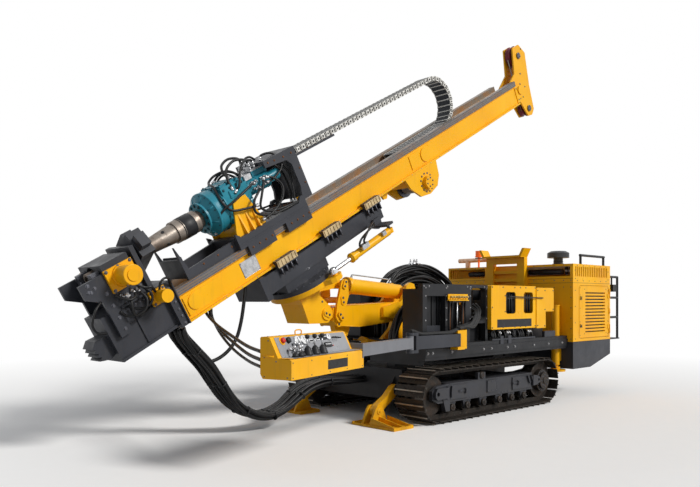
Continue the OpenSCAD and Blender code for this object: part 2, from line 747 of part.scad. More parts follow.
// Lever plates beside the boom, and the link from their top to the head
head_eye = [2160, 1640];
module tilt_lever() {
    machine() color(grey) difference() {
        union() {
            side2(155, 190) {
                translate(lever_base) circle(r = 75, $fn = 48);
                translate(lever_top) circle(r = 62, $fn = 48);
                polygon([[1796, 1300], [1772, 1430], [1726, 1560], [1738, 1700], [1862, 1712], [1884, 1600],
                    [1926, 1450], [1945, 1310]]);
            }
            across2(lever_top[0], lever_top[1], 32, 54, 196);
            across(1832, 1500, 40, -155, 155);
        }
        across2(lever_base[0], lever_base[1], 38 + pin_fit, 154, 191);
    }
}
module tilt_link() {
    machine() color(grey) difference() {
        union() {
            side2(57, 92) {
                translate(lever_top) circle(r = 55, $fn = 48);
                translate(head_eye) circle(r = 55, $fn = 48);
                strut(lever_top, head_eye, 80);
            }
            across2(head_eye[0], head_eye[1], 34, 92, 108);
        }
        across2(lever_top[0], lever_top[1], 32 + pin_fit, 56, 93);
    }
}

// Head that carries the turntable at the tip of the boom
turn_r = 400;
swing_lug = [-200, 450];
module head_box() {
    color(grey) {
        machine() {
            side(-205, 205) polygon([[2240, 1215], [2400, 1215], [2500, 1440], [2574, 1532],
                [2224, 1727], [2235, 1560]]);
            side2(105, 205) polygon([[2240, 1215], [2090, 1225], [2020, 1290], [2020, 1370], [2070, 1430],
                [2130, 1480], [2235, 1560]]);
            side(-50, 50) polygon([[2235, 1560], [2160, 1580], [2105, 1630], [2112, 1672], [2150, 1695],
                [2222, 1715]]);
            across(tip_x, tip_z, 45, -215, 215);
            across2(tip_x, tip_z, 75, 205, 222);
        }
        mast() {
            translate([0, 0, -40]) cylinder(r = turn_r, h = 59.7, $fn = 96);
            translate([0, 0, 19.7]) cylinder(r = 150, h = 130, $fn = 64);
            // lug of the swing cylinder's rod
            plan(-40, 19.7) polygon([[-20, 380], [-90, 480], [-150, 510], [-240, 510], [-300, 460], [-330, 200],
                [0, 200]]);
            upright(swing_lug[0], swing_lug[1], 19.7, 44, 30);
        }
    }
}

// Cradle on the turntable in which the mast slides
cradle_s0 = -1500;
cradle_s1 = 700;
flange_t = 25; // thickness of the mast's bottom flange
guides = [250, -550, -1350]; // middle of each guide block along the mast
module cradle() {
    mast() color(grey) difference() {
        union() {
            translate([0, 0, 20]) cylinder(r = turn_r, h = 60, $fn = 96);
            block(-360, 360, -220, 220, 80, 200);
            block(cradle_s0, cradle_s1, -258, 258, 200, 420);
            block(cradle_s1 - 80, cradle_s1, -290, 290, 160, 440);
            side(-60, 60) polygon([[-360, 200], [-360, 120], [-700, 200]]);
            side2(140, 200) polygon([[-1500, 200], [-1480, 90], [-1400, 80], [-1200, 200]]);
            // guide blocks that clasp the bottom flange of the mast
            for (s = guides) {
                block2(s - 150, s + 150, 250, 306, 415, 510);
                block2(s - 150, s + 150, 230, 306, mast_w0 + flange_t + 0.3, 510);
                block2(s - 150, s + 150, 120, 258, 420, mast_w0 - 0.3);
                for (t = [-120, -40, 40, 120]) block2(s + t - 10, s + t + 10, 250, 298, 340, 420);
            }
            // barrel lugs of the swing cylinder
            block(-1380, -1260, 258, 500, 150, 180);
            block(-1380, -1260, 258, 300, 150, 260);
            upright(-1320, swing_lug[1], 40, 150, 22);
        }
        translate([0, 0, 0]) cylinder(r = 150 + pin_fit, h = 151, $fn = 64);
    }
}

// Swing cylinder beside the cradle
swing_w = 75;
swing_end = [-1320, 450];
module swing_barrel() {
    mast() color(grey) difference() {
        union() {
            upright(swing_end[0], swing_end[1], 45, 105, 48);
            along(swing_end[0] + 30, -540, swing_end[1], swing_w, 50);
            along(-610, -540, swing_end[1], swing_w, 58);
        }
        upright(swing_end[0], swing_end[1], 30, 120, 22 + pin_fit);
        along(-1220, -539, swing_end[1], swing_w, 26 + pin_fit);
    }
}
module swing_rod() {
    mast() color(chrome) difference() {
        union() {
            along(-1030, swing_lug[0] - 45, swing_lug[1], swing_w, 26);
            upright(swing_lug[0], swing_lug[1], 50, 100, 52);
            upright(swing_lug[0], swing_lug[1], 100, 115, 30);
        }
        upright(swing_lug[0], swing_lug[1], 40, 60, 20);
    }
}

// Mast beam with bottom flanges and top rails
module mast_beam() {
    mast() color(grey) {
        block(mast_s0, mast_s1, -mast_y, mast_y, mast_w0, mast_w1);
        block(mast_s0, mast_s1, -245, 245, mast_w0, mast_w0 + flange_t);
        for (y = [-245, 150]) block(mast_s0, mast_s1, y, y + 95, mast_w1, mast_w1 + 80);
        // raised panels of the sides
        block2(mast_s1 - 560, mast_s1 - 60, mast_y, mast_y + 12, 500, 704);
        across2(mast_s1 - 180, 610, 85, mast_y + 12, mast_y + 24);
        block2(-2900, -2400, mast_y, mast_y + 10, 500, 700);
        across2(-2740, 600, 98, mast_y + 10, mast_y + 24);
        // lug of the slide cylinder
        side2(60, 90) polygon([[-1750, mast_w0], [-1790, 340], [-1850, 330], [-1950, mast_w0]]);
    }
}

// Crown at the top of the mast with its two rope sheaves
upper_sheave_at = [-5950, 1130];
lower_sheave_at = [-5850, 260];
module crown() {
    mast() color(grey) {
        side2(mast_y - 15, mast_y + 12) polygon([[-5400, mast_w0 + 25.3], [-5400, 749.7], [-5700, 700],
            [-5700, 540], [-5600, mast_w0 + 25.3]]);
        across2(-5540, 650, 70, mast_y + 12, mast_y + 30);
        block(-5700, -5400, -mast_y + 15, mast_y - 15, 480, 520);
        side2(70, 95) polygon([[-5400, 520], [-5400, 760], [-5700, 900], [-5850, 1290], [-6050, 1290],
            [-6180, 1120], [-6050, 600], [-6000, 200], [-5900, 130], [-5780, 150], [-5640, 480]]);
        block(-5700, -5650, -70, 70, 520, 700);
        across(upper_sheave_at[0], upper_sheave_at[1], 28, -105, 105);
        across(lower_sheave_at[0], lower_sheave_at[1], 22, -105, 105);
    }
}
module sheave(at, r, bore_r) {
    mast() color("#8E2F2A") translate([at[0], 0, at[1]]) rotate([90, 0, 0]) rotate_extrude($fn = 64)
        polygon([[bore_r + pin_fit, -45], [r * 0.45, -45], [r * 0.45, -18], [r * 0.8, -18], [r * 0.8, -40], [r, -40],
            [r - 26, -10], [r - 26, 10], [r, 40], [r * 0.8, 40], [r * 0.8, 18], [r * 0.45, 18],
            [r * 0.45, 45], [bore_r + pin_fit, 45]]);
}
module upper_sheave() { sheave(upper_sheave_at, 170, 28); }
module lower_sheave() { sheave(lower_sheave_at, 120, 22); }

// Winch under the mast: side plates, motor and grooved drum
winch_at = [-2560, 250];
module winch_frame() {
    mast() color(grey) {
        side2(205, 240) polygon([[-2900, mast_w0 - 0.3], [-2860, 240], [-2760, 120], [-2560, 80],
            [-2360, 120], [-2200, 300], [-2150, mast_w0 - 0.3]]);
        block(-2900, -2860, -205, 205, 240, mast_w0 - 0.3);
        block(-2250, -2210, -205, 205, 320, mast_w0 - 0.3);
        across(winch_at[0], winch_at[1], 90, 240, 300);
        across(winch_at[0], winch_at[1], 110, -340, -240);
        across(winch_at[0], winch_at[1], 35, -205, 205);
    }
}
module winch_drum() {
    mast() color(steel) translate([winch_at[0], 0, winch_at[1]]) rotate([90, 0, 0]) rotate_extrude($fn = 64)
        polygon([[35 + pin_fit, -195], [165, -195], [165, -175], [100, -175], [100, 175], [165, 175],
            [165, 195], [35 + pin_fit, 195]]);
}

// Feed carriage: sled on the rails, front arms, tower and tray of the energy chain
module carriage() {
    mast() color(grey) {
        block(-350, 750, -285, 285, mast_w1 + 80.3, 950);
        for (s = [-350, 250]) {
            block2(s, s + 400, 251, 285, 712, mast_w1 + 80.3);
            block2(s, s + 400, 206, 285, 712, 744);
        }
        // front arms and guard
        side2(180, 215) polygon([[750, mast_w1 + 80.3], [750, 950], [1380, 930], [1440, 1200], [1440, mast_w1 + 80.3]]);
        block(1400, 1440, -180, 180, 850, 1060);
        // tower
        side2(232, 262) polygon([[-500, 950], [-500, 1560], [0, 1560], [0, 1480], [-330, 1450], [-380, 1380],
            [-380, 1100], [-330, 950]]);
        block(-500, -470, -232, 232, 950, 1420);
        block(-500, 0, -232, 232, 1530, 1560);
        block(-1290, -500, -150, 150, 1415, 1439.7);
    }
}

// Ribbed yellow mount of the rotary head
module head_mount() {
    mast() color(yellow) {
        block(310, 620, -218, 218, 950, drill_w - 190.3);
        side2(220.3, 240) polygon([[270, 950], [270, 1000], [380, drill_w + 40], [560, drill_w + 40], [690, 1000], [690, 950]]);
        for (s = [360, 460, 560]) for (m = [0, 1]) mirror([0, m, 0]) translate([s, 0, 0]) rotate([90, 0, 90])
            linear_extrude(20) polygon([[235, 950], [284, 950], [240, 1190], [235, 1190]]);
    }
}

// Rotary head: gearbox, two motors and a manifold
module rotary_head() {
    mast() color("#1E6E78") difference() {
        union() {
            // front housing with its nose flange
            along(640, 800, 0, drill_w, 240, 72);
            translate([800, 0, drill_w]) rotate([0, 90, 0]) cylinder(r1 = 240, r2 = 165, h = 60, $fn = 72);
            along(860, 885, 0, drill_w, 175, 64);
            // gearbox with its cover
            block(320, 640, -220, 220, drill_w - 190, drill_w + 215);
            block(350, 610, -180, 180, drill_w + 215, drill_w + 240);
            // two motors, the lower pump and the hose manifold
            for (y = [-105, 105]) {
                block(280, 320, y - 105, y + 105, drill_w - 45, drill_w + 165);
                along(-60, 280, y, drill_w + 60, 95);
                along(-240, -60, y, drill_w + 60, 70);
            }
            along(180, 320, 0, drill_w - 100, 85);
            block(-110, 110, -100, 130, drill_w + 140, drill_w + 212);
        }
        along(700, 900, 0, drill_w, 60 + pin_fit, 64);
    }
}

// Spindle, black sleeve, adapter and drill pipe in one turning line
module drill_string() {
    mast() color("#9A9B98") difference() {
        union() {
            along(705, 960, 0, drill_w, 60, 64);
            along(890, 950, 0, drill_w, 95, 64);
            along(950, 1250, 0, drill_w, 120, 64);
            translate([1250, 0, drill_w]) rotate([0, 90, 0]) cylinder(r1 = 105, r2 = 78, h = 350, $fn = 64);
            along(1600, 2300, 0, drill_w, pipe_r, 64);
        }
        along(1800, 2301, 0, drill_w, pipe_bore_r, 64);
    }
}

// Clamp frame on the lower end of the mast with the foot and its serrated claw
clamp_hole_r = 100;
teeth = 4;
module clamp_frame() {
    mast() color(grey) difference() {
        union() {
            block(mast_s1 + 0.3, 1750, -240, 240, mast_w0, 950);
            block(1750, 2440, -180, 180, 470, 950);
            // bearing plate of the breakout clamp
            block(1840, 1890, -250, 250, 950, drill_w + 140);
            // front clamp body
            block(1930, 2230, -240, 240, 950, drill_w + 110);
            block(1745, 1935, -240, 240, 790, 950);
            block(1890, 1930, -200, 200, 950, 1100);
            side2(205, 240) polygon([[2230, 950], [2230, clamp_w1], [clamp_s1, clamp_w1], [clamp_s1, clamp_w1 - 140],
                [2360, clamp_w1 - 240], [2360, 700], [2230, 700]]);
            side(-240, 240) polygon([[2230, clamp_w1 - 70], [2230, clamp_w1], [2330, clamp_w1], [2330, clamp_w1 - 30]]);
            // claw
            side(-110, 110) polygon(concat([[2440, 760], [2440, 560], [2500, 540]],
                [for (i = [0:teeth - 1]) each [[2560 + i * 12, 560 + i * 45], [2610 + i * 4, 580 + i * 45]]],
                [[2560, 770]]));
        }
        along(1839, 1891, 0, drill_w, 130 + pin_fit, 64);
        along(1925, 2340, 0, drill_w, clamp_hole_r, 64);
    }
}
// Jaw cylinders of the front clamp with their flanges
module clamp_cylinders() {
    mast() color(yellow) {
        block2(1925, 2235, 240.3, 270, drill_w - 180, drill_w + 50);
        for (sy = [-1, 1]) {
            y0 = sy > 0 ? 270 : -480;
            across(2080, drill_w - 65, 95, y0, y0 + 210);
            across(2080, drill_w - 65, 60, sy > 0 ? 480 : -500, sy > 0 ? 500 : -480);
            y1 = sy > 0 ? 266 : -440;
            across(1840, 870, 66, y1, y1 + 174);
        }
        block2(1748, 1932, 240.3, 270, 795, 945);
    }
}
// Breakout clamp that turns about the drill line
breakout_turn = 28;
module breakout_clamp() {
    mast() translate([0, 0, drill_w]) rotate([breakout_turn, 0, 0]) color(steel) difference() {
        union() {
            block(1650, 1810, -240, 240, -130, 150);
            block(1680, 1790, 240, 330, -70, 70);
            block(1680, 1790, -330, -240, -70, 70);
            block(1670, 1790, -120, 120, 150, 210);
            along(1810, 1890, 0, 0, 130, 64);
        }
        along(1649, 1891, 0, 0, clamp_hole_r, 64);
    }
}

// Energy chain: lower run between the rails, bend and upper run to the tray
chain_top = 1505;
bend_s = -3850 + bend_r;
chain_fixed_s = -2300;
module energy_chain() {
    mast() color("#B8BBBD") side(-link_y, link_y) {
        translate([bend_s, chain_top - link_h]) square([-500.3 - bend_s, link_h]);
        translate([bend_s, chain_top - 2 * bend_r]) square([chain_fixed_s - bend_s, link_h]);
        translate([bend_s, chain_top - bend_r]) difference() {
            circle(r = bend_r, $fn = 96);
            circle(r = bend_r - link_h, $fn = 96);
            translate([0, -bend_r - 1]) square([bend_r + 1, 2 * bend_r + 2]);
        }
    }
}

// Hoses that hang from the lower end of the mast to the front of the chassis
hose_path = [[4060, 0, 1210], [4020, 0, 1110], [3900, 0, 980], [3710, 0, 790], [3570, 0, 600], [3440, 0, 430],
    [3280, 0, 290], [3080, 0, 190], [2860, 0, 165], [2650, 0, 230], [2470, 0, 340], [2300, 0, 430],
    [2080, 0, 480], [1850, 0, 485], [1620, 0, 470], [1380.2, 0, 470]];
hose_r = 55;
module hose(path, r, n) {
    m = len(path);
    function dir(i) = let (v = path[min(i + 1, m - 1)] - path[max(i - 1, 0)]) v / norm(v);
    pts = [for (i = [0:m - 1], k = [0:n - 1]) let (d = dir(i), u = [0, 1, 0], v = cross(d, u))
        path[i] + r * cos(k * 360 / n) * u + r * sin(k * 360 / n) * v];
    faces = concat([[for (k = [0:n - 1]) k]],
        [for (i = [0:m - 2], k = [0:n - 1]) [i * n + k, i * n + n + k, i * n + n + (k + 1) % n, i * n + (k + 1) % n]],
        [[for (k = [n - 1:-1:0]) (m - 1) * n + k]]);
    polyhedron(points = pts, faces = faces, convexity = 4);
}
module feed_hoses() {
    machine() color(dark) for (y = [-114, 0, 114]) translate([0, y, 0]) hose(hose_path, hose_r, 10);
}

track_left();
track_right();
running_gear();
track_frames();
chassis_frame();
deck();
boom_bracket();
engine_block();
hood_shell();
hood_base();
mast_rest();
engine_door_left();
engine_door_right();
exhaust();
air_intake();
beacon();
handrails();
deck_frame();
valve_cover();
valve_bank();
side_tank();
deck_hoses();
rear_jack_posts();
rear_jack_left();
rear_jack_right();
stabiliser_arm_left();
stabiliser_arm_right();
stabiliser_foot_left();
stabiliser_foot_right();
console_bracket();
console_link();
console_arm();
console_box();
boom();
lift_barrel();
lift_rod();
tilt_barrel();
tilt_rod();
tilt_lever();
tilt_link();
head_box();
cradle();
swing_barrel();
swing_rod();
mast_beam();
crown();
upper_sheave();
lower_sheave();
winch_frame();
winch_drum();
carriage();
head_mount();
rotary_head();
drill_string();
clamp_frame();
clamp_cylinders();
breakout_clamp();
energy_chain();
feed_hoses();
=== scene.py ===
# %% [markdown]
# A tracked drilling rig, dressed for a picture. The rig already exists as exact solids:
# the tracks, the deck, the boom, the long mast. Here it gets its looks. Nothing solid is
# moved. Every new piece is placed by the same millimetres that the solids use, and is
# tied to a body of the rig, so that bolts, rings and paint go along when the mast tilts
# or a door swings open. Hoses and the energy chain are the exception: they keep the shape
# that they have at rest.

# %% Load the solid rig
import math
import bpy
import numpy as np
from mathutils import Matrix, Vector


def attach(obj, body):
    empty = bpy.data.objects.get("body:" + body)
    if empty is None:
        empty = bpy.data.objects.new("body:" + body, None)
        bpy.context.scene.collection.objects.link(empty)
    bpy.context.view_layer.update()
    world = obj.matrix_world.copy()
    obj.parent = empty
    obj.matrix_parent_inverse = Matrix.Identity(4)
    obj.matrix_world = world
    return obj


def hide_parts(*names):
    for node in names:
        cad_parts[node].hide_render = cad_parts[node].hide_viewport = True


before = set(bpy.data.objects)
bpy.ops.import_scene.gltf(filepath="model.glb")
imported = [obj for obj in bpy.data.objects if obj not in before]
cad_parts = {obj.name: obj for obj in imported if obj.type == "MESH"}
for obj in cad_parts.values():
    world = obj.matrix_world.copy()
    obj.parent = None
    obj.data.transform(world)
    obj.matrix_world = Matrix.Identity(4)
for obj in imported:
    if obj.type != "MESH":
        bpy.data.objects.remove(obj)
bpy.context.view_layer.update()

# %% [markdown]
# Two sets of axes make the work easy. On the machine itself, x runs towards the drilling
# end, y towards the operator's side and z up, all in millimetres from the middle of the
# boom's foot at ground level. On the mast, s runs down along the beam, y across it and w
# straight out of its face. A point can be written in whichever set is plainer, and two
# small functions turn it into Blender's metres.

# %% Axes of the machine and of the mast
MACHINE_SHIFT = (703.14, 424.78)
MAST_TURN = (2370.0, 0.0, 1680.0)
MAST_TILT = math.radians(29.2)


def on_machine(x, y, z):
    return ((x - MACHINE_SHIFT[0]) / 1000, (y - MACHINE_SHIFT[1]) / 1000, z / 1000)


def on_mast(s, y, w):
    c, n = math.cos(MAST_TILT), math.sin(MAST_TILT)
    return on_machine(MAST_TURN[0] + s * c + w * n, y, MAST_TURN[2] - s * n + w * c)


CONSOLE_CORNER = (2980.0, 1700.0)
CONSOLE_TURN = math.radians(17.9)
print("the mast turns at, metres:", [round(v, 3) for v in on_mast(0, 0, 0)])

# %% [markdown]
# The camera stands at the front left of the rig, a little under eye height, and looks
# level, so that all upright edges stay upright in the picture, as they do when a
# photographer shifts the lens instead of tipping the camera. That is why the lens is
# shifted up slightly here. The camera comes first, because the hoses that hang from the
# mast are judged by what it sees.

# %% Camera
CAMERA_AT = (7.13986, 6.11822, 1.5)
LOOK_BEARING = math.radians(46)
camera_data = bpy.data.cameras.new("photo_camera")
camera_data.lens = 36
camera_data.sensor_width = 36
camera_data.shift_y = (300 - 243.5) / 700
camera_data.clip_end = 200
camera = bpy.data.objects.new("photo_camera", camera_data)
bpy.context.scene.collection.objects.link(camera)
camera.location = CAMERA_AT
look = Vector((-math.cos(LOOK_BEARING), -math.sin(LOOK_BEARING), 0))
camera.rotation_euler = look.to_track_quat("-Z", "Y").to_euler()
bpy.context.scene.camera = camera
print("camera looks along", [round(v, 3) for v in look])

# %% [markdown]
# Most small things on a machine are repeats: bolts in a row, ribs, links, short pipes.
# Making each one a separate object would be slow, so one bench collects the corners and
# faces of many small shapes and turns them into a single mesh at the end. It knows boxes,
# round bars, bent tubes, rings and bolt heads. A shape can be given in machine or mast
# millimetres, because the bench is told at the start which axes it works in.

# %% A bench that gathers small shapes into one mesh
class Bench:
    def __init__(self, place=on_machine):
        self.place, self.points, self.faces, self.smooth = place, [], [], []

    def add(self, points, faces, smooth=False):
        base = len(self.points)
        self.points += [self.place(*p) for p in points]
        self.faces += [[base + i for i in f] for f in faces]
        self.smooth += [smooth] * len(faces)

    def block(self, x0, x1, y0, y1, z0, z1, edge=0):
        """A box with its upright edges cut by a small chamfer, as folded or sawn plate has."""
        e = edge
        if e <= 0:
            loop = [(x0, y0), (x1, y0), (x1, y1), (x0, y1)]
        else:
            loop = [(x0 + e, y0), (x1 - e, y0), (x1, y0 + e), (x1, y1 - e),
                    (x1 - e, y1), (x0 + e, y1), (x0, y1 - e), (x0, y0 + e)]
        n = len(loop)
        points = [(x, y, z) for z in (z0, z1) for x, y in loop]
        faces = [list(range(n))[::-1], list(range(n, 2 * n))]
        faces += [[i, (i + 1) % n, n + (i + 1) % n, n + i] for i in range(n)]
        self.add(points, faces)

    def prism(self, outline, y0, y1):
        """A flat outline of (x, z) points, pulled out from y0 to y1."""
        n = len(outline)
        points = [(x, y0, z) for x, z in outline] + [(x, y1, z) for x, z in outline]
        faces = [list(range(n)), list(range(n, 2 * n))[::-1]]
        faces += [[i, n + i, n + (i + 1) % n, (i + 1) % n] for i in range(n)]
        self.add(points, faces)

    def tube(self, path, radius, sides=10, closed_ends=True):
        """A round tube along a path; radius is one number or one for each point."""
        path = [np.array(p, float) for p in path]
        n = len(path)
        radii = list(radius) if hasattr(radius, "__len__") else [radius] * n
        tangents = []
        for i in range(n):
            t = path[min(i + 1, n - 1)] - path[max(i - 1, 0)]
            tangents.append(t / (np.linalg.norm(t) or 1))
        guide = np.array([0, 0, 1.0]) if abs(tangents[0][2]) < 0.9 else np.array([1.0, 0, 0])
        points, faces = [], []
        for i in range(n):
            guide = guide - tangents[i] * guide.dot(tangents[i])
            guide = guide / np.linalg.norm(guide)
            wing = np.cross(tangents[i], guide)
            for k in range(sides):
                a = 2 * math.pi * k / sides
                points.append(tuple(path[i] + radii[i] * (math.cos(a) * guide + math.sin(a) * wing)))
        for i in range(n - 1):
            for k in range(sides):
                q = (k + 1) % sides
                faces.append([i * sides + k, i * sides + q, (i + 1) * sides + q, (i + 1) * sides + k])
        self.add(points, faces, True)
        if closed_ends:
            self.faces.append([len(self.points) - n * sides + k for k in range(sides)][::-1])
            self.faces.append([len(self.points) - sides + k for k in range(sides)])
            self.smooth += [False, False]

    def disc(self, centre, axis, radius, thick, sides=16, bevel=0.12):
        """A turned disc with a small bevel on its outer edge, seen from its free end."""
        c, u = np.array(centre, float), np.array(axis, float)
        u = u / np.linalg.norm(u)
        r = bevel * radius
        self.tube([c, c + u * (thick - min(r, thick * 0.6)), c + u * thick], [radius, radius, radius - r], sides)

    def bolt(self, centre, axis, size, washer=True):
        """A hexagon bolt head on its washer, sunk a little so that no gap shows."""
        c, u = np.array(centre, float), np.array(axis, float)
        u = u / np.linalg.norm(u)
        if washer:
            self.tube([c - u * 2, c + u * size * 0.14], size * 0.92, 10)
        self.tube([c - u * 2, c + u * size * 0.55, c + u * size * 0.65], [size * 0.62, size * 0.62, size * 0.5], 6)

    def piece(self, name, body, finish, slot=None):
        mesh = bpy.data.meshes.new(name)
        mesh.from_pydata(self.points, [], self.faces)
        mesh.polygons.foreach_set("use_smooth", self.smooth)
        mesh.update()
        made = bpy.data.objects.new(name, mesh)
        bpy.context.scene.collection.objects.link(made)
        for m in finish if isinstance(finish, (list, tuple)) else [finish]:
            mesh.materials.append(m)
        if body:
            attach(made, body)
        made_sizes[name] = sum(len(p.vertices) - 2 for p in mesh.polygons)
        print(f"{name}: {made_sizes[name]} triangles on {body}")
        return made


made_sizes = {}


def smooth_path(points, count):
    """A smooth curve through a few points, as a bent hose makes, cut into equal steps."""
    p = [np.array(q, float) for q in points]
    p = [2 * p[0] - p[1]] + p + [2 * p[-1] - p[-2]]
    fine = []
    for i in range(1, len(p) - 2):
        for k in range(16):
            t = k / 16
            a, b, c, d = p[i - 1], p[i], p[i + 1], p[i + 2]
            fine.append(0.5 * (2 * b + (c - a) * t + (2 * a - 5 * b + 4 * c - d) * t * t
                               + (3 * b - a - 3 * c + d) * t ** 3))
    fine.append(p[-2])
    fine = np.array(fine)
    run = np.concatenate([[0], np.cumsum(np.linalg.norm(np.diff(fine, axis=0), axis=1))])
    want = np.linspace(0, run[-1], count)
    return [tuple(np.interp(w, run, fine[:, j]) for j in range(3)) for w in want]


# %% [markdown]
# Machine paint is never one flat colour. Sprayed enamel varies a little from panel to
# panel, gathers dust where it faces up, thins to a darker tone on edges, and gets grimy
# near the ground. One recipe does most of that from the point's own place on the rig: a
# broad cloud of noise for the panel tone, a fine one for dust, the surface's own
# direction for what settles on top, and sparse chips for wear, spread by noise and not
# kept to the edges. Roughness follows the fine noise, and a very fine bump has its own.

# %% Nodes that every finish shares
def linear(hexcode):
    out = []
    for i in (0, 2, 4):
        v = int(hexcode[i:i + 2], 16) / 255
        out.append(v / 12.92 if v <= 0.04045 else ((v + 0.055) / 1.055) ** 2.4)
    return tuple(out)


def socket(node, name):
    return node.inputs[name]


class Finish:
    """Builds one material step by step: each method adds a node and gives back its output."""

    def __init__(self, name, metallic=0.0, roughness=0.5):
        self.material = bpy.data.materials.new(name)
        self.material.use_nodes = True
        self.nodes, self.links = self.material.node_tree.nodes, self.material.node_tree.links
        self.shader = self.nodes["Principled BSDF"]
        socket(self.shader, "Metallic").default_value = metallic
        socket(self.shader, "Roughness").default_value = roughness
        socket(self.shader, "Specular IOR Level").default_value = 0.28
        self.place = self.nodes.new("ShaderNodeNewGeometry")
        self.rest = self.nodes.new("ShaderNodeTexCoord").outputs["Object"]

    def cloud(self, scale, detail=4.0, stretch=None, rough=0.55):
        noise = self.nodes.new("ShaderNodeTexNoise")
        noise.inputs["Scale"].default_value = scale
        noise.inputs["Detail"].default_value = detail
        noise.inputs["Roughness"].default_value = rough
        start = self.rest
        if stretch:
            mapping = self.nodes.new("ShaderNodeMapping")
            mapping.inputs["Scale"].default_value = stretch
            self.links.new(start, mapping.inputs["Vector"])
            start = mapping.outputs["Vector"]
        self.links.new(start, noise.inputs["Vector"])
        return noise.outputs["Fac"]

    def ramp(self, value, *stops):
        """Turns a number into a tone; each stop is (place, grey level or colour)."""
        ramp = self.nodes.new("ShaderNodeValToRGB")
        elements = ramp.color_ramp.elements
        while len(elements) < len(stops):
            elements.new(0.5)
        for e, (at, tone) in zip(elements, stops):
            e.position = at
            e.color = (*tone, 1) if hasattr(tone, "__len__") else (tone, tone, tone, 1)
        self.links.new(value, ramp.inputs["Fac"])
        return ramp.outputs["Color"]

    def sum(self, kind, a, b):
        math_node = self.nodes.new("ShaderNodeMath")
        math_node.operation = kind
        for i, v in enumerate((a, b)):
            if isinstance(v, (int, float)):
                math_node.inputs[i].default_value = v
            else:
                self.links.new(v, math_node.inputs[i])
        return math_node.outputs[0]

    def blend(self, amount, a, b):
        mix = self.nodes.new("ShaderNodeMix")
        mix.data_type = "RGBA"
        for name, v in (("Factor", amount), ("A", a), ("B", b)):
            plugs = [i for i in mix.inputs if i.name == name and i.enabled]
            plug = plugs[-1] if name != "Factor" else plugs[0]
            if isinstance(v, (int, float)):
                plug.default_value = v
            elif isinstance(v, tuple):
                plug.default_value = (*v, 1)
            else:
                self.links.new(v, plug)
        return [o for o in mix.outputs if o.enabled][-1]

    def facing(self, axis):
        """How far the surface faces along x, y or z: 1 means straight along it."""
        parts = self.nodes.new("ShaderNodeSeparateXYZ")
        self.links.new(self.place.outputs["Normal"], parts.inputs[0])
        return parts.outputs[axis]

    def height(self):
        parts = self.nodes.new("ShaderNodeSeparateXYZ")
        self.links.new(self.rest, parts.inputs[0])
        return parts.outputs["Z"]

    def out_of_mast(self):
        """The w of the mast's own axes, in metres, at the place where the mast rests."""
        dot = self.nodes.new("ShaderNodeVectorMath")
        dot.operation = "DOT_PRODUCT"
        self.links.new(self.rest, dot.inputs[0])
        dot.inputs[1].default_value = (math.sin(MAST_TILT), 0, math.cos(MAST_TILT))
        zero = Vector(on_mast(0, 0, 0)).dot(Vector((math.sin(MAST_TILT), 0, math.cos(MAST_TILT))))
        return self.sum("SUBTRACT", dot.outputs["Value"], zero)

    def colour(self, value):
        self.links.new(value, socket(self.shader, "Base Color"))

    def roughness(self, value):
        self.links.new(value, socket(self.shader, "Roughness"))

    def bump(self, value, strength=0.1, distance=0.004):
        bump = self.nodes.new("ShaderNodeBump")
        bump.inputs["Strength"].default_value = strength
        bump.inputs["Distance"].default_value = distance
        self.links.new(value, bump.inputs["Height"])
        self.links.new(bump.outputs["Normal"], socket(self.shader, "Normal"))


def tone(colour, factor):
    return tuple(min(1.0, c * factor) for c in colour)


def sprayed_paint(name, colour, shadow, dirt, gloss=0.32, dust=0.35, grime_top=0.75, bare=None, rails=False):
    """Enamel on steel: panel tone, dust on top faces, grime near the ground, worn chips."""
    f = Finish(name, roughness=gloss)
    broad = f.cloud(1.3, 3)
    fine = f.cloud(7, 5)
    base = f.blend(f.ramp(broad, (0.35, 0.0), (0.7, 1.0)), shadow, colour)
    streaks = f.cloud(5, 5, stretch=(3.0, 3.0, 0.35))
    base = f.blend(f.ramp(streaks, (0.56, 0.0), (0.78, 0.22)), base, tone(dirt, 0.9))
    top = f.sum("MULTIPLY", f.ramp(f.facing("Z"), (0.35, 0.0), (0.95, 1.0)),
                f.ramp(fine, (0.38, 0.0), (0.72, dust)))
    base = f.blend(top, base, dirt)
    low = f.ramp(f.height(), (0.05, 0.8), (grime_top, 0.0))
    base = f.blend(f.sum("MULTIPLY", low, f.ramp(f.cloud(9, 6), (0.3, 0.15), (0.75, 0.8))), base, tone(dirt, 0.55))
    chips = f.sum("MULTIPLY", f.ramp(f.cloud(34, 7, rough=0.7), (0.66, 0.0), (0.7, 0.55)),
                  f.ramp(broad, (0.5, 0.0), (0.62, 1.0)))
    base = f.blend(chips, base, bare or tone(colour, 0.5))
    if rails:
        steel = f.blend(f.ramp(f.cloud(5, 6), (0.4, 0.0), (0.65, 1.0)), linear("77726C"), linear("8A6A4C"))
        base = f.blend(f.ramp(f.out_of_mast(), (0.752, 0.0), (0.754, 1.0)), base, steel)
    f.colour(base)
    f.roughness(f.ramp(fine, (0.3, gloss - 0.07), (0.75, gloss + 0.2)))
    f.bump(f.cloud(160, 2), 0.03, 0.001)
    return f.material


print("made for every finish: linear, socket, Finish, tone, sprayed_paint")

# %% [markdown]
# The colours were read off the picture where the sun falls straight on them and then
# turned into Blender's linear numbers: a warm machine yellow, a blue-tinted charcoal for
# the frames, the teal of the rotary head, and a pale grey for the console. Charcoal paint
# looks nearly black in its own shade, so it is kept lighter here than it first seems.

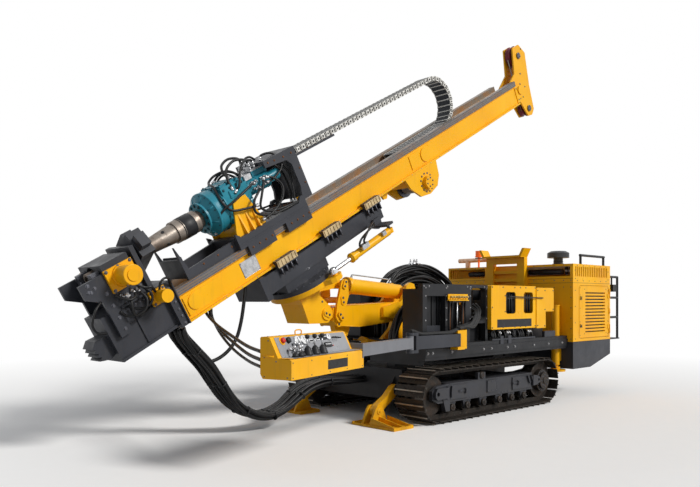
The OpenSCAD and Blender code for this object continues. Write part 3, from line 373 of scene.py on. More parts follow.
# %% Paints
yellow = sprayed_paint("yellow_enamel", linear("FFC00C"), linear("F6B008"), linear("AE8434"), 0.33, 0.14)
mast_yellow = sprayed_paint("mast_yellow_enamel", linear("FFC00C"), linear("F6B008"), linear("AE8434"), 0.33, 0.14,
                            rails=True)
charcoal = sprayed_paint("charcoal_enamel", linear("3B3D44"), linear("2F3137"), linear("55514C"), 0.4, 0.22,
                         bare=linear("6E6A66"))
dark = sprayed_paint("black_enamel", linear("212226"), linear("1A1B1E"), linear("403C37"), 0.4, 0.2)
teal = sprayed_paint("teal_enamel", linear("2C8DA2"), linear("1F7488"), linear("3C4B4C"), 0.3, 0.3,
                     bare=linear("17444F"))
pale_grey = sprayed_paint("console_grey", linear("A3A5A9"), linear("94969B"), linear("7D7A76"), 0.4, 0.25)
arm_grey = sprayed_paint("arm_grey", linear("83858B"), linear("74767C"), linear("6A635C"), 0.4, 0.3)
print("paints:", [m.name for m in (yellow, charcoal, dark, teal, pale_grey, arm_grey)])

# %% [markdown]
# Bare metals come next. A track shoe is cast, then ground by stones: dull brown-grey with
# rust in the hollows and bright rubbed edges. A hydraulic rod is chrome, almost a mirror.
# A drill pipe is machined steel with lathe rings and heat stains, so its noise is drawn
# out thin along one way. Each gets its own grain, because metal is told by its grain.

# %% Metals
def worn_steel(name, colour, rust, rub, rough=0.62, amount=0.5, metallic=0.55, scale=14):
    f = Finish(name, metallic=metallic, roughness=rough)
    patches = f.ramp(f.cloud(scale, 8, rough=0.65), (0.42, 0.0), (0.68, amount))
    base = f.blend(patches, colour, rust)
    base = f.blend(f.ramp(f.cloud(3, 4), (0.4, 0.0), (0.7, 0.35)), base, tone(colour, 0.55))
    rubbed = f.ramp(f.cloud(scale * 1.7, 5), (0.6, 0.0), (0.72, 0.4))
    base = f.blend(rubbed, base, rub)
    f.colour(base)
    f.roughness(f.ramp(f.cloud(scale * 2.5, 6), (0.3, rough - 0.12), (0.75, rough + 0.2)))
    f.bump(f.cloud(scale * 9, 6), 0.35, 0.004)
    return f.material


shoe_steel = worn_steel("cast_track_steel", linear("2E2B28"), linear("453930"), linear("6E665D"), 0.55, 0.5)
roller_steel = worn_steel("forged_steel", linear("35322F"), linear("4E3A2C"), linear("7A756F"), 0.5, 0.45)
machined = worn_steel("machined_steel", linear("9A9A9C"), linear("7A6A5C"), linear("D8D8D8"), 0.34, 0.3, 0.9, 22)
blade_steel = worn_steel("ground_steel", linear("5E6068"), linear("4E4640"), linear("B0B0B4"), 0.42, 0.3, 0.75, 18)
rusty = worn_steel("rusted_steel", linear("80573B"), linear("5B3A26"), linear("9C8878"), 0.75, 0.8, 0.35)


def turned_pipe(name):
    """Lathe-turned pipe: fine rings round it, long heat stains along it."""
    f = Finish(name, metallic=0.75, roughness=0.42)
    stains = f.ramp(f.cloud(4.5, 6), (0.35, 0.0), (0.7, 1.0))
    base = f.blend(stains, linear("8F8880"), linear("6D5F55"))
    base = f.blend(f.ramp(f.cloud(30, 7), (0.55, 0.0), (0.72, 0.5)), base, linear("4A4440"))
    f.colour(base)
    f.roughness(f.ramp(f.cloud(18, 5), (0.3, 0.3), (0.75, 0.62)))
    f.bump(f.cloud(90, 4), 0.2, 0.002)
    return f.material


def mirror_rod(name):
    f = Finish(name, metallic=1.0, roughness=0.1)
    f.colour(f.blend(f.ramp(f.cloud(6, 3), (0.4, 0.0), (0.8, 0.4)), linear("E9EAEC"), linear("BFC2C6")))
    f.roughness(f.ramp(f.cloud(70, 4), (0.4, 0.08), (0.8, 0.22)))
    return f.material


pipe_steel = turned_pipe("turned_drill_steel")
chrome = mirror_rod("chrome_rod_finish")
print("metals:", len(bpy.data.materials))

# %% [markdown]
# Rubber hose, plastic chain, painted sheaves and the amber lamp make up the rest. Hose
# rubber is dark but never black: it has a dull sheen and dust. The energy chain's pale
# links are nylon, so light goes into them a little. The lamp is tinted plastic over a
# bulb. A faint steady glow is painted into the lens: painted light for the sun shining in.

# %% Rubber, plastics and glass
def rubber(name, colour=linear("131416"), gloss=0.4):
    f = Finish(name, roughness=gloss)
    base = f.blend(f.ramp(f.cloud(7, 5), (0.4, 0.0), (0.75, 0.5)), colour, linear("222120"))
    f.colour(base)
    f.roughness(f.ramp(f.cloud(55, 5), (0.3, gloss - 0.1), (0.75, gloss + 0.22)))
    f.bump(f.cloud(420, 2), 0.15, 0.001)
    return f.material


def moulded(name, colour, other, gloss=0.38, metallic=0.0):
    f = Finish(name, roughness=gloss, metallic=metallic)
    f.colour(f.blend(f.ramp(f.cloud(16, 6), (0.4, 0.0), (0.72, 0.8)), colour, other))
    f.roughness(f.ramp(f.cloud(60, 4), (0.3, gloss - 0.08), (0.75, gloss + 0.18)))
    f.bump(f.cloud(180, 3), 0.08, 0.0015)
    return f.material


hose_rubber = rubber("hose_rubber_finish")
cover_rubber = rubber("filter_cover", linear("3D4147"), 0.36)
link_white = moulded("pale_chain_link", linear("ECEBE6"), linear("C4C2BA"), 0.4)
link_dark = moulded("dark_chain_strip", linear("1E2229"), linear("2C3038"), 0.45)
maroon = moulded("sheave_paint", linear("7C2A3C"), linear("5A2430"), 0.4)
knob_red = moulded("red_knob", linear("D2302A"), linear("B02420"), 0.3)
dial_white = moulded("dial_face", linear("ECEDEE"), linear("DCDDE0"), 0.25)
black_plastic = moulded("black_plastic", linear("17181A"), linear("26272A"), 0.4)
silver = moulded("zinc_plate", linear("BDBEC0"), linear("8E9094"), 0.3, 0.85)
brass = moulded("passivated_fitting", linear("C9AE6A"), linear("8A7440"), 0.34, 0.8)
duct_tan = moulded("exhaust_shield", linear("D9B79C"), linear("A98468"), 0.4, 0.5)


def amber_lens(name):
    f = Finish(name, roughness=0.18)
    f.colour(f.blend(f.ramp(f.cloud(20, 3), (0.4, 0.0), (0.7, 0.7)), linear("FF7A2A"), linear("E85A16")))
    # Painted glow: a faint emission stands in for the sun lighting the lens from inside.
    socket(f.shader, "Emission Color").default_value = (*linear("FF6A1E"), 1)
    socket(f.shader, "Emission Strength").default_value = 0.25
    return f.material


amber = amber_lens("amber_lens")
print("finishes in all:", len(bpy.data.materials))

# %% [markdown]
# Each solid of the rig now gets the finish that its real part has. A short table says
# which, so that the whole colour scheme can be read in one place. The table is checked
# against the rig: a solid that is missing from it would be left unpainted, so the cell
# stops there.

# %% Paint the solids
SOLID_FINISH = {
    "track_left": shoe_steel, "track_right": shoe_steel, "running_gear": roller_steel,
    "track_frames": charcoal, "chassis_frame": dark, "deck": dark, "boom_bracket": yellow,
    "engine_block": dark, "hood_shell": yellow, "hood_base": charcoal, "mast_rest": yellow,
    "engine_door_left": yellow, "engine_door_right": yellow, "exhaust": duct_tan, "air_intake": cover_rubber,
    "beacon": amber, "handrails": dark, "deck_frame": dark, "valve_cover": yellow, "valve_bank": dark,
    "side_tank": dark, "deck_hoses": hose_rubber, "rear_jack_posts": yellow, "rear_jack_left": yellow,
    "rear_jack_right": yellow, "stabiliser_arm_left": yellow, "stabiliser_arm_right": yellow,
    "stabiliser_foot_left": yellow, "stabiliser_foot_right": yellow, "console_bracket": yellow,
    "console_link": charcoal, "console_arm": arm_grey, "console_box": yellow, "boom": yellow,
    "lift_barrel": yellow, "lift_rod": chrome, "tilt_barrel": yellow, "tilt_rod": chrome, "tilt_lever": yellow,
    "tilt_link": yellow, "head_box": yellow, "cradle": charcoal, "swing_barrel": yellow, "swing_rod": chrome,
    "mast_beam": mast_yellow, "crown": yellow, "upper_sheave": maroon, "lower_sheave": maroon,
    "winch_frame": yellow, "winch_drum": blade_steel, "carriage": charcoal, "head_mount": yellow,
    "rotary_head": teal, "drill_string": pipe_steel, "clamp_frame": charcoal, "clamp_cylinders": yellow,
    "breakout_clamp": charcoal, "energy_chain": link_dark, "feed_hoses": hose_rubber,
}
for name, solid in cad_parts.items():
    finish = SOLID_FINISH[name]
    solid.data.materials.clear()
    solid.data.materials.append(finish)
print("solids painted:", len(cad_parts))

# %% [markdown]
# The pressure hoses hang from the foot of the mast in one long curve, under the console,
# to the front of the chassis frame. They are a fixed length of something springy, so the
# whole bundle follows one smooth line, and the single hoses wander round that line and
# change places, held by a strap here and there. A single fat tube would look like a
# trunk. Separate tubes that cross each other, inside the space of the solid bundle, look
# like hoses.

# %% Feed hoses
HOSE_LINE = [(4060, 0, 1210), (4020, 0, 1110), (3900, 0, 980), (3710, 0, 790), (3570, 0, 600), (3440, 0, 430),
             (3280, 0, 290), (3080, 0, 190), (2860, 0, 165), (2650, 0, 230), (2470, 0, 340), (2300, 0, 430),
             (2080, 0, 480), (1850, 0, 485), (1620, 0, 470), (1380.2, 0, 470)]
BUNDLE_RADIUS = 55.0
BUNDLES_AT = (-114, 0, 114)


def bundle(bench, line, radius, count, single, turns=0.7, seed=3, wander=0.16, sides=9, steps=72, hollow=0.0):
    """Single hoses round one line: each keeps to its own ring and angle, and drifts a little."""
    rng = np.random.default_rng(seed)
    middle = [np.array(p, float) for p in smooth_path(line, steps)]
    for h in range(count):
        ring = 0.0 if h == 0 and not hollow else 1.0
        start = 2 * math.pi * h / max(1, count - (0 if hollow else 1)) + rng.uniform(-0.15, 0.15)
        beat, phase = rng.uniform(1.2, 2.6), rng.uniform(0, 6.28)
        path = []
        for i, m in enumerate(middle):
            t = i / (steps - 1)
            ahead = middle[min(i + 1, steps - 1)] - middle[max(i - 1, 0)]
            ahead /= np.linalg.norm(ahead)
            wing = np.cross(ahead, np.array([0.0, 1.0, 0.0001]))
            wing /= np.linalg.norm(wing)
            other = np.cross(ahead, wing)
            a = start + turns * 2 * math.pi * t + 0.5 * math.sin(beat * 6.28 * t + phase)
            r = (radius - single) * (ring * (1 - wander + wander * math.sin(6.28 * beat * t + phase * 2))
                                     + (1 - ring) * 0.18 * math.sin(beat * 6.28 * t))
            path.append(m + r * (math.cos(a) * wing + math.sin(a) * other))
        bench.tube(path, single, sides)


def shifted(line, y):
    return [(p[0], y, p[2]) for p in line]


hose_bundles, hose_centres = [], []
for number, y in enumerate(BUNDLES_AT):
    hoses = Bench()
    bundle(hoses, shifted(HOSE_LINE, y), BUNDLE_RADIUS, 8 - number, 15.5 + 2 * number, seed=3 + number)
    hose_centres.append([on_machine(*p) for p in smooth_path(shifted(HOSE_LINE, y), 40)])
    hose_bundles.append(hoses.piece(f"feed_hose_bundle_{number + 1}", "chassis", hose_rubber, "hose_rubber"))
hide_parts("feed_hoses")

# %% [markdown]
# Straps keep the hoses together. They ride on the chassis, as the bundle does.

# %% Straps round the hoses
for number, y in enumerate(BUNDLES_AT):
    straps = Bench()
    strap_line = smooth_path(shifted(HOSE_LINE, y), 120)
    for at in (12, 30, 47, 62, 79, 97):
        a, b = np.array(strap_line[at]), np.array(strap_line[at + 1])
        u = (b - a) / np.linalg.norm(b - a)
        straps.tube([a - u * 9, a - u * 8, a + u * 8, a + u * 9], [50, 53.5, 53.5, 50], 16)
    strap_piece = straps.piece(f"hose_straps_{number + 1}", "chassis", black_plastic, "hose_rubber")

# %% [markdown]
# The energy chain is what makes the top of this machine look alive. It carries hoses to
# the moving drill head: pale nylon side links hinged end to end, dark cover strips
# between them, and hoses inside. Every link is the same, so one link is drawn at a point
# of the chain's line, and a loop sets it down along the upper run, round the bend and
# along the lower run, turned each time to the line's own direction. It takes the place of
# the plain solid band. On the real rig the bend rolls along as the head travels. Here the
# chain is drawn once, as it lies at rest, so at the top of the mast the head runs into
# it.

# %% Energy chain
CHAIN_TOP, CHAIN_TALL = 1505.0, 65.0
CHAIN_BEND_AT, CHAIN_BEND_R, CHAIN_START, CHAIN_END = -3474.0, 376.0, -500.3, -2300.0


def chain_point(run):
    """Place and direction on the chain's middle line, for a distance from its moving end."""
    r = CHAIN_BEND_R - CHAIN_TALL / 2
    first, arc = CHAIN_START - CHAIN_BEND_AT, math.pi * r
    mid = CHAIN_TOP - CHAIN_TALL / 2
    if run < first:
        return CHAIN_START - run, mid, -1.0, 0.0
    if run < first + arc:
        a = (run - first) / r
        return CHAIN_BEND_AT - r * math.sin(a), mid - r + r * math.cos(a), -math.cos(a), -math.sin(a)
    return CHAIN_BEND_AT + (run - first - arc), mid - 2 * r, 1.0, 0.0


chain_whole = (CHAIN_START - CHAIN_BEND_AT) + math.pi * (CHAIN_BEND_R - CHAIN_TALL / 2) + (CHAIN_END - CHAIN_BEND_AT)
LINK_COUNT = 58
link_pitch = chain_whole / LINK_COUNT
links_pale, links_dark = Bench(on_mast), Bench(on_mast)


def chain_box(bench, run, along0, along1, y0, y1, up0, up1):
    """A small box on the chain: along its line, across it, and outwards from its middle."""
    s, w, ds, dw = chain_point(run)
    points = [(s + a * ds + u * dw, y, w + a * dw - u * ds)
              for u in (up0, up1) for a, y in ((along0, y0), (along1, y0), (along1, y1), (along0, y1))]
    bench.add(points, [[3, 2, 1, 0], [4, 5, 6, 7], [0, 1, 5, 4], [1, 2, 6, 5], [2, 3, 7, 6], [3, 0, 4, 7]])


for i in range(LINK_COUNT):
    run = (i + 0.5) * link_pitch
    half = CHAIN_TALL / 2
    for side in (-1, 1):
        inner, outer = sorted((side * 112, side * (124.8 if i % 2 else 121)))
        chain_box(links_pale, run, -link_pitch * 0.56, link_pitch * 0.56, inner, outer, -half + 3, half - 3)
        chain_box(links_pale, run, -link_pitch * 0.2, link_pitch * 0.2, inner, outer, -half, half)
        rib = sorted((side * 118, side * 127))
        chain_box(links_pale, run, -4, 4, rib[0], rib[1], -half + 8, half - 8)
        s, w, ds, dw = chain_point(run + link_pitch * 0.5)
        links_dark.disc((s, side * 119, w), (0, side, 0), 13, 8, 8)
    for up in (-1, 1):
        chain_box(links_pale, run, -8, 8, -112, 112, up * half - (8 if up > 0 else 0),
                  up * half + (0 if up > 0 else 8))
        chain_box(links_dark, run + link_pitch * 0.5, -30, 30, -110, 110, up * (half - 6) - 1.5,
                  up * (half - 6) + 1.5)
pale_links = links_pale.piece("energy_chain_links", "mast", link_white, "chain_metal")
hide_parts("energy_chain")
links_dark.piece("energy_chain_strips", "mast", link_dark, "chain_metal")
chain_hoses = Bench(on_mast)
for y, r in ((-84, 19), (-42, 16), (0, 21), (44, 15), (84, 18)):
    line = []
    for k in range(90):
        s, w, ds, dw = chain_point(chain_whole * (k + 0.01) / 89.1)
        line.append((s, y + 4 * math.sin(k * 0.7 + y), w))
    chain_hoses.tube(line, r, 7)
chain_hoses.piece("energy_chain_hoses", "mast", hose_rubber, "hose_rubber")
print("chain links:", LINK_COUNT, "pitch, mm:", round(link_pitch, 1))

# %% [markdown]
# Along the mast, the rails are ground steel, and thin wear strips show where the
# carriage's shoes run. The strips are only a few millimetres thick, so they stay clear of
# the carriage's lips.

# %% Mast rails, plate and covers
strips = Bench(on_mast)
for side in (-1, 1):
    for w0, w1 in ((756, 768), (786, 792), (812, 824)):
        strips.block(-5395, 1655, *sorted((side * 244.5, side * 247.5)), w0, w1)
strips.piece("mast_wear_strips", "mast", blade_steel, "bare_steel")
plate = Bench(on_mast)
plate.block(560, 800, 199, 203, 510, 690, 6)
plate.piece("mast_data_plate_blank", "mast", silver, "bare_steel")
mast_bolts = Bench(on_mast)
for s in (575, 785):
    for w in (525, 675):
        mast_bolts.bolt((s, 203, w), (0, 1, 0), 9)
for side in (-1, 1):
    for s in range(-5300, 1600, 230):
        mast_bolts.bolt((s, side * 245, 462), (0, side, 0), 7)
    for w in (480, 560, 640, 720):
        mast_bolts.bolt((1640, side * 200, w), (0, side, 0), 16)
    for k in range(10):
        a = 2 * math.pi * k / 10
        mast_bolts.bolt((-5620 + 60 * math.cos(a), side * 200, 600 + 60 * math.sin(a)), (0, side, 0), 10)
mast_bolts.piece("mast_bolts", "mast", machined, "bare_steel")
covers = Bench(on_mast)
for side in (-1, 1):
    covers.disc((-2740, side * 200, 600), (0, side, 0), 78, 10, 28)
covers.piece("mast_side_covers", "mast", rusty, "bare_steel")
# Painted shade: the holes in the side covers are flat black discs, for the dark inside each hole.
holes = Bench(on_mast)
for side in (-1, 1):
    for k in range(6):
        a = 2 * math.pi * k / 6
        holes.disc((-2740 + 45 * math.cos(a), side * 209, 600 + 45 * math.sin(a)), (0, side, 0), 13, 2.5, 12)
    holes.disc((-2740, side * 209, 600), (0, side, 0), 12, 2.5, 12)
holes.piece("mast_cover_hole_shade", "mast", black_plastic)

# %% [markdown]
# The mast slides in three pairs of guides on its cradle. Each guide has a pale greased
# bronze bar held down by studs, with gussets below it. The studs stand out clearly in the
# picture, so they are worth their few triangles.

# %% Guide bars on the cradle
bars, studs = Bench(on_mast), Bench(on_mast)
for s in (250, -550, -1350):
    for side in (-1, 1):
        y0, y1 = sorted((side * 305, side * 314))
        bars.block(s - 158, s + 158, y0, y1, 430, 508)
        for k in range(6):
            bars.block(s - 150 + k * 55, s - 132 + k * 55, *sorted((side * 313, side * 322)), 436, 502)
        for k in (-120, -40, 40, 120):
            studs.tube([(s + k, side * 300, 330), (s + k, side * 300, 424)], 9, 8)
            studs.bolt((s + k, side * 300, 345), (0, 0, -1), 15)
            studs.bolt((s + k, side * 270, 510), (0, 0, 1), 13)
bars.piece("cradle_guide_bars", "cradle", moulded("bronze_bar", linear("C9B48C"), linear("8F7C5C"), 0.45, 0.5),
           "bare_steel")
studs.piece("cradle_guide_studs", "cradle", blade_steel, "bare_steel")
ring = Bench(on_mast)
for k in range(28):
    a = 2 * math.pi * (k + 0.5) / 28
    ring.bolt((372 * math.cos(a), 372 * math.sin(a), 80), (0, 0, 1), 15)
ring.piece("turntable_bolts", "cradle", blade_steel, "bare_steel")

# %% [markdown]
# The rotary head turns the drill pipe. Its cast housing has a ring of heavy bolts round
# the nose and another where the gearbox joins it. Two oil motors push in from behind. A
# block of drilled aluminium shares the oil out to them, through pale plated fittings.
# Bolts sit on circles, so they come from a loop over angles.

# %% Rotary head bolts, rings and plates
head_trim, head_bolts = Bench(on_mast), Bench(on_mast)
DRILL_W = 1290.0


def circle_bolts(bench, s, w, radius, count, size, direction, y=0.0, start=0.0):
    for k in range(count):
        a = 2 * math.pi * (k + start) / count
        bench.bolt((s, y + radius * math.cos(a), w + radius * math.sin(a)), (direction, 0, 0), size)


for s0, s1, r in ((636, 662, 250), (772, 800, 249)):
    head_trim.tube([(s0, 0, DRILL_W), (s0 + 3, 0, DRILL_W), (s1 - 3, 0, DRILL_W), (s1, 0, DRILL_W)],
                   [r - 6, r, r, r - 6], 48)
for k in range(8):
    a = 2 * math.pi * (k + 0.5) / 8
    c, d = math.cos(a), math.sin(a)
    head_trim.tube([(800, 228 * c, DRILL_W + 228 * d), (858, 168 * c, DRILL_W + 168 * d)], 11, 6)
circle_bolts(head_bolts, 885, DRILL_W, 145, 12, 22, 1)
circle_bolts(head_bolts, 800, DRILL_W, 222, 16, 20, 1, start=0.5)
circle_bolts(head_bolts, 662, DRILL_W, 244.5, 16, 14, 1)
for y in (-105, 105):
    head_trim.tube([(-64, y, 1350), (-60, y, 1350), (-48, y, 1350), (-44, y, 1350)], [84, 100, 100, 95], 28)
    head_trim.tube([(100, y, 1350), (104, y, 1350), (120, y, 1350), (124, y, 1350)], [90, 101, 101, 90], 28)
    head_trim.tube([(-250, y, 1350), (-240, y, 1350)], [52, 66], 24)
    circle_bolts(head_bolts, -64, 1350, 84, 6, 16, -1, y)
    for dy in (-88, 88):
        head_bolts.bolt((280, y + dy, 1420), (-1, 0, 0), 20)
        head_bolts.bolt((280, y + dy, 1280), (-1, 0, 0), 20)
for s in (370, 450, 510, 590):
    for y in (-160, 160):
        head_bolts.bolt((s, y, 1530), (0, 0, 1), 17)
for s in (345, 430, 520, 610):
    head_bolts.bolt((s, 220, 1470), (0, 1, 0), 18)
    head_bolts.bolt((s, -220, 1470), (0, -1, 0), 18)
head_trim.block(400, 560, 218, 232, 1360, 1440, 8)
head_trim.block(400, 560, -232, -218, 1360, 1440, 8)
head_trim.piece("rotary_head_rings", "carriage", teal, "head_blue")
head_bolts.piece("rotary_head_bolts", "carriage",
                 moulded("dark_bolt", linear("1E4650"), linear("2C2E30"), 0.4, 0.4), "head_blue")

manifold, fittings = Bench(on_mast), Bench(on_mast)
manifold.block(-118, 118, -108, 138, 1500, 1522, 5)
manifold.block(-60, 60, -60, 90, 1520, 1545, 5)
manifold.block(150, 260, 40, 170, 1440, 1500, 6)
manifold.piece("head_manifold", "carriage", silver, "bare_steel")
for s, y in ((-90, -80), (-90, 110), (90, -80), (90, 110), (-30, -90), (30, 120), (0, -90)):
    fittings.tube([(s, y, 1518), (s, y, 1552)], 15, 6)
    fittings.tube([(s, y, 1550), (s, y, 1574)], 10, 10)
for s, y, w in ((118, -60, 1480), (118, 0, 1480), (118, 70, 1480), (-112, -60, 1475), (-112, 60, 1475)):
    d = 1 if s > 0 else -1
    fittings.tube([(s, y, w), (s + d * 34, y, w)], 15, 6)
    fittings.tube([(s + d * 34, y, w), (s + d * 60, y, w)], 10, 10)
for y, w in ((190, 1400), (196, 1330), (-196, 1370)):
    d = 1 if y > 0 else -1
    for s in (20, 70, 160, 210):
        fittings.tube([(s, y, w), (s, y + d * 34, w)], 15, 6)
        fittings.tube([(s, y + d * 34, w), (s, y + d * 52, w - 14)], 10, 10)
fittings.piece("head_fittings", "carriage", silver, "bare_steel")

# %% [markdown]
# Hoses fan out from the manifold. Some loop up and forward over the gearbox, some drop
# down the near side over the yellow ribs and run back along the carriage. They are all
# held at both ends, so they are fixed pipes of rubber here, each on a smooth curve
# through a handful of points picked from the picture.

# %% Hoses of the rotary head
HEAD_HOSES = [
    (15, [(60, -60, 1574), (60, -60, 1660), (200, -40, 1712), (360, 20, 1690), (430, 90, 1610), (420, 150, 1548)]),
    (15, [(90, 110, 1574), (110, 120, 1640), (250, 120, 1690), (400, 140, 1650), (480, 190, 1560),
          (500, 228, 1440)]),
    (14, [(30, 120, 1574), (60, 140, 1620), (200, 190, 1640), (330, 240, 1560), (420, 262, 1450),
          (480, 234, 1400)]),
    (14, [(180, 30, 1495), (280, -40, 1600), (420, -100, 1610), (560, -60, 1570), (640, 120, 1530),
          (700, 245, 1370),
          (640, 272, 1250), (480, 292, 1200), (330, 300, 1170)]),
    (13, [(-90, 110, 1574), (-120, 130, 1610), (-230, 160, 1590), (-300, 190, 1500), (-260, 215, 1400),
          (-120, 225, 1340),
          (30, 238, 1330)]),
    (15, [(-172, 60, 1475), (-260, 70, 1470), (-350, 110, 1400), (-380, 150, 1290), (-330, 190, 1150),
          (-260, 200, 960)]),
    (15, [(-172, -60, 1475), (-270, -60, 1480), (-370, -40, 1420), (-410, 0, 1300), (-390, 40, 1120),
          (-330, 60, 955)]),
    (14, [(20, 242, 1386), (-60, 262, 1340), (-120, 275, 1230), (-60, 290, 1120), (60, 296, 1050), (200, 300, 1010),
          (330, 300, 1000)]),
    (14, [(70, 248, 1386), (140, 290, 1330), (230, 306, 1240), (300, 306, 1140), (230, 300, 1060), (60, 292, 1010),
          (-120, 286, 985), (-300, 262, 965)]),
    (14, [(160, 242, 1316), (250, 300, 1290), (360, 318, 1230), (400, 312, 1130), (330, 300, 1060),
          (180, 294, 1000),
          (0, 286, 975), (-160, 280, 968), (-330, 256, 962)]),
    (13, [(210, 242, 1386), (300, 300, 1400), (440, 312, 1370), (600, 300, 1330), (720, 262, 1300),
          (800, 200, 1230),
          (806, 60, 1075)]),
    (14, [(178, -60, 1480), (260, -120, 1560), (330, -190, 1540), (380, -240, 1440), (330, -270, 1300),
          (200, -280, 1120),
          (20, -272, 965)]),
    (14, [(178, 0, 1480), (240, 0, 1560), (300, -60, 1600), (360, -120, 1590), (420, -180, 1535)]),
    (13, [(-30, -90, 1574), (-60, -110, 1620), (-160, -130, 1610), (-260, -170, 1500), (-240, -200, 1370),
          (-100, -205, 1330)]),
    (12, [(210, -248, 1356), (260, -300, 1290), (200, -310, 1150), (60, -296, 1040), (-140, -284, 985),
          (-340, -262, 962)]),
]
head_hoses, hose_ends = Bench(on_mast), Bench(on_mast)
for radius, points in HEAD_HOSES:
    line = smooth_path(points, 14 + 5 * len(points))
    head_hoses.tube(line, radius, 9)
    for a, b in ((line[0], line[1]), (line[-1], line[-2])):
        a, b = np.array(a), np.array(b)
        u = (b - a) / np.linalg.norm(b - a)
        hose_ends.tube([a - u * 6, a + u * 30], radius + 4, 10)
        hose_ends.tube([a - u * 12, a + u * 6], radius + 7, 6)
head_hoses.piece("head_hoses", "carriage", hose_rubber, "hose_rubber")
hose_ends.piece("head_hose_ends", "carriage", silver, "bare_steel")

# %% [markdown]
# Under the head, the carriage is a welded sled with folded edges, stop blocks, a plate in
# front and loose grit on top. Rows of square bolt heads along the lips are what the eye
# catches.

# %% Carriage trim
sled, sled_bolts = Bench(on_mast), Bench(on_mast)
for side in (-1, 1):
    y0, y1 = sorted((side * 283, side * 290))
    for s in (-330, -230, -130, -30, 290, 390, 490, 590):
        sled_bolts.bolt((s, side * 285, 790), (0, side, 0), 15)
    sled.block(-352, 752, y0, y1, 862, 880)
    sled.prism([(690, 950), (750, 950), (750, 1010), (700, 975)], *sorted((side * 262, side * 285)))
    sled.prism([(-350, 950), (-240, 950), (-290, 1010), (-350, 1010)], *sorted((side * 252, side * 285)))
    for s in (800, 1000, 1200):
        sled_bolts.bolt((s, side * 215, 900), (0, side, 0), 13)
    for s, w in ((-470, 1120), (-430, 1500), (-300, 1500), (-160, 1510), (-60, 1520), (-470, 1300)):
        sled_bolts.bolt((s, side * 262, w), (0, side, 0), 14)
    for s in range(-1260, -520, 150):
        sled_bolts.bolt((s, side * 135, 1440), (0, 0, 1), 9)
sled.block(1385, 1400, -178, 178, 960, 1075)
sled.block(700, 752, -240, 240, 948, 968)
sled.piece("carriage_edges", "carriage", charcoal, "grey_paint")
sled_bolts.piece("carriage_bolts", "carriage", rusty, "bare_steel")
stops = Bench(on_mast)
stops.block(1150, 1290, 120, 178, 832, 905, 6)
stops.block(-350, -290, 200, 250, 948, 1000, 6)
stops.piece("carriage_stop_blocks", "carriage", yellow, "yellow_paint")
grit = Bench(on_mast)
rng = np.random.default_rng(11)
for k in range(260):
    s, y = rng.uniform(-330, 740), rng.uniform(-225, 225)
    if 290 < s < 720 and abs(y) < 240:
        continue
    r = rng.uniform(4, 11)
    grit.tube([(s, y, 948), (s, y, 950 + r)], [r * 1.4, r * 0.5], 5)
grit.piece("carriage_grit", "carriage", rusty, "bare_steel")

# %% [markdown]
# At the foot of the mast two clamps hold the drill pipe. Their cylinders stand out to the
# sides on yellow plates with bolts at the corners. Thick rings, ribs, plated fittings and
# short hoses fill the space between them, and dark jaws with ground teeth grip the pipe.

# %% Clamp cylinders, bolts and fittings
clamp_bolts, clamp_trim, clamp_metal = Bench(on_mast), Bench(on_mast), Bench(on_mast)
for side in (-1, 1):
    for s in (1945, 2080, 2215):
        for w in (1128, 1322):
            clamp_bolts.bolt((s, side * 270, w), (0, side, 0), 20)
    for s in (1765, 1915):
        for w in (812, 928):
            clamp_bolts.bolt((s, side * 270, w), (0, side, 0), 17)
    clamp_trim.tube([(2080, side * 468, 1225), (2080, side * 472, 1225), (2080, side * 486, 1225),
                     (2080, side * 490, 1225)],
                    [94, 99, 99, 92], 32)
    clamp_trim.tube([(2080, side * 270, 1225), (2080, side * 285, 1225)], [108, 98], 32)
    clamp_trim.tube([(1840, side * 270, 870), (1840, side * 282, 870)], [78, 68], 28)
    clamp_trim.tube([(1840, side * 424, 870), (1840, side * 440, 870)], [70, 62], 28)
    for s, w in ((2440, 1230), (2370, 1240)):
        clamp_bolts.bolt((s, side * 240, w), (0, side, 0), 20)
    for s, w in ((2290, 760), (2290, 880), (2290, 1010), (2290, 1140), (2420, 1220), (2420, 1290)):
        clamp_bolts.bolt((s, side * 240, w), (0, side, 0), 22)
    for w in (480, 560, 640, 720, 800, 880):
        clamp_bolts.bolt((1700, side * 240, w), (0, side, 0), 18)
    clamp_metal.tube([(2150, side * 250, 1050), (2150, side * 330, 1040)], 16, 10)
    for s, w in ((1960, 1060), (2010, 1045), (2060, 1060), (2120, 1050), (2180, 1070)):
        clamp_metal.tube([(s, side * 236, w), (s, side * 268, w - 10)], 15, 6)
        clamp_metal.tube([(s, side * 268, w - 10), (s, side * 300, w - 30)], 10, 9)
    for s in (1960, 2010, 2060, 2110, 2160):
        clamp_bolts.bolt((s, side * 180, 900), (0, side, 0), 14)
clamp_trim.piece("clamp_cylinder_rings", "mast", yellow, "yellow_paint")
clamp_bolts.piece("clamp_bolts", "mast", blade_steel, "bare_steel")
clamp_metal.piece("clamp_fittings", "mast", silver, "bare_steel")

jaws = Bench(on_mast)
for side in (-1, 1):
    for k in range(7):
        jaws.block(2235 + k * 13, 2242 + k * 13, *sorted((side * 96, side * 112)), 1235, 1345)
    jaws.block(2230, 2330, *sorted((side * 110, side * 176)), 1228, 1352, 6)
jaws.piece("clamp_jaws", "mast", blade_steel, "bare_steel")
ribs = Bench(on_mast)
for side in (-1, 1):
    ribs.block(1650, 1662, *sorted((side * 232, side * 262)), 452, 948)
    ribs.prism([(1770, 470), (2440, 470), (2440, 500), (1770, 500)], *sorted((side * 178, side * 200)))
    ribs.prism([(1935, 948), (2228, 948), (2228, 970), (1935, 970)], *sorted((side * 238, side * 262)))
    ribs.prism([(2100, 505), (2124, 505), (2124, 945), (2100, 945)], *sorted((side * 178, side * 196)))
ribs.piece("clamp_ribs", "mast", charcoal, "grey_paint")

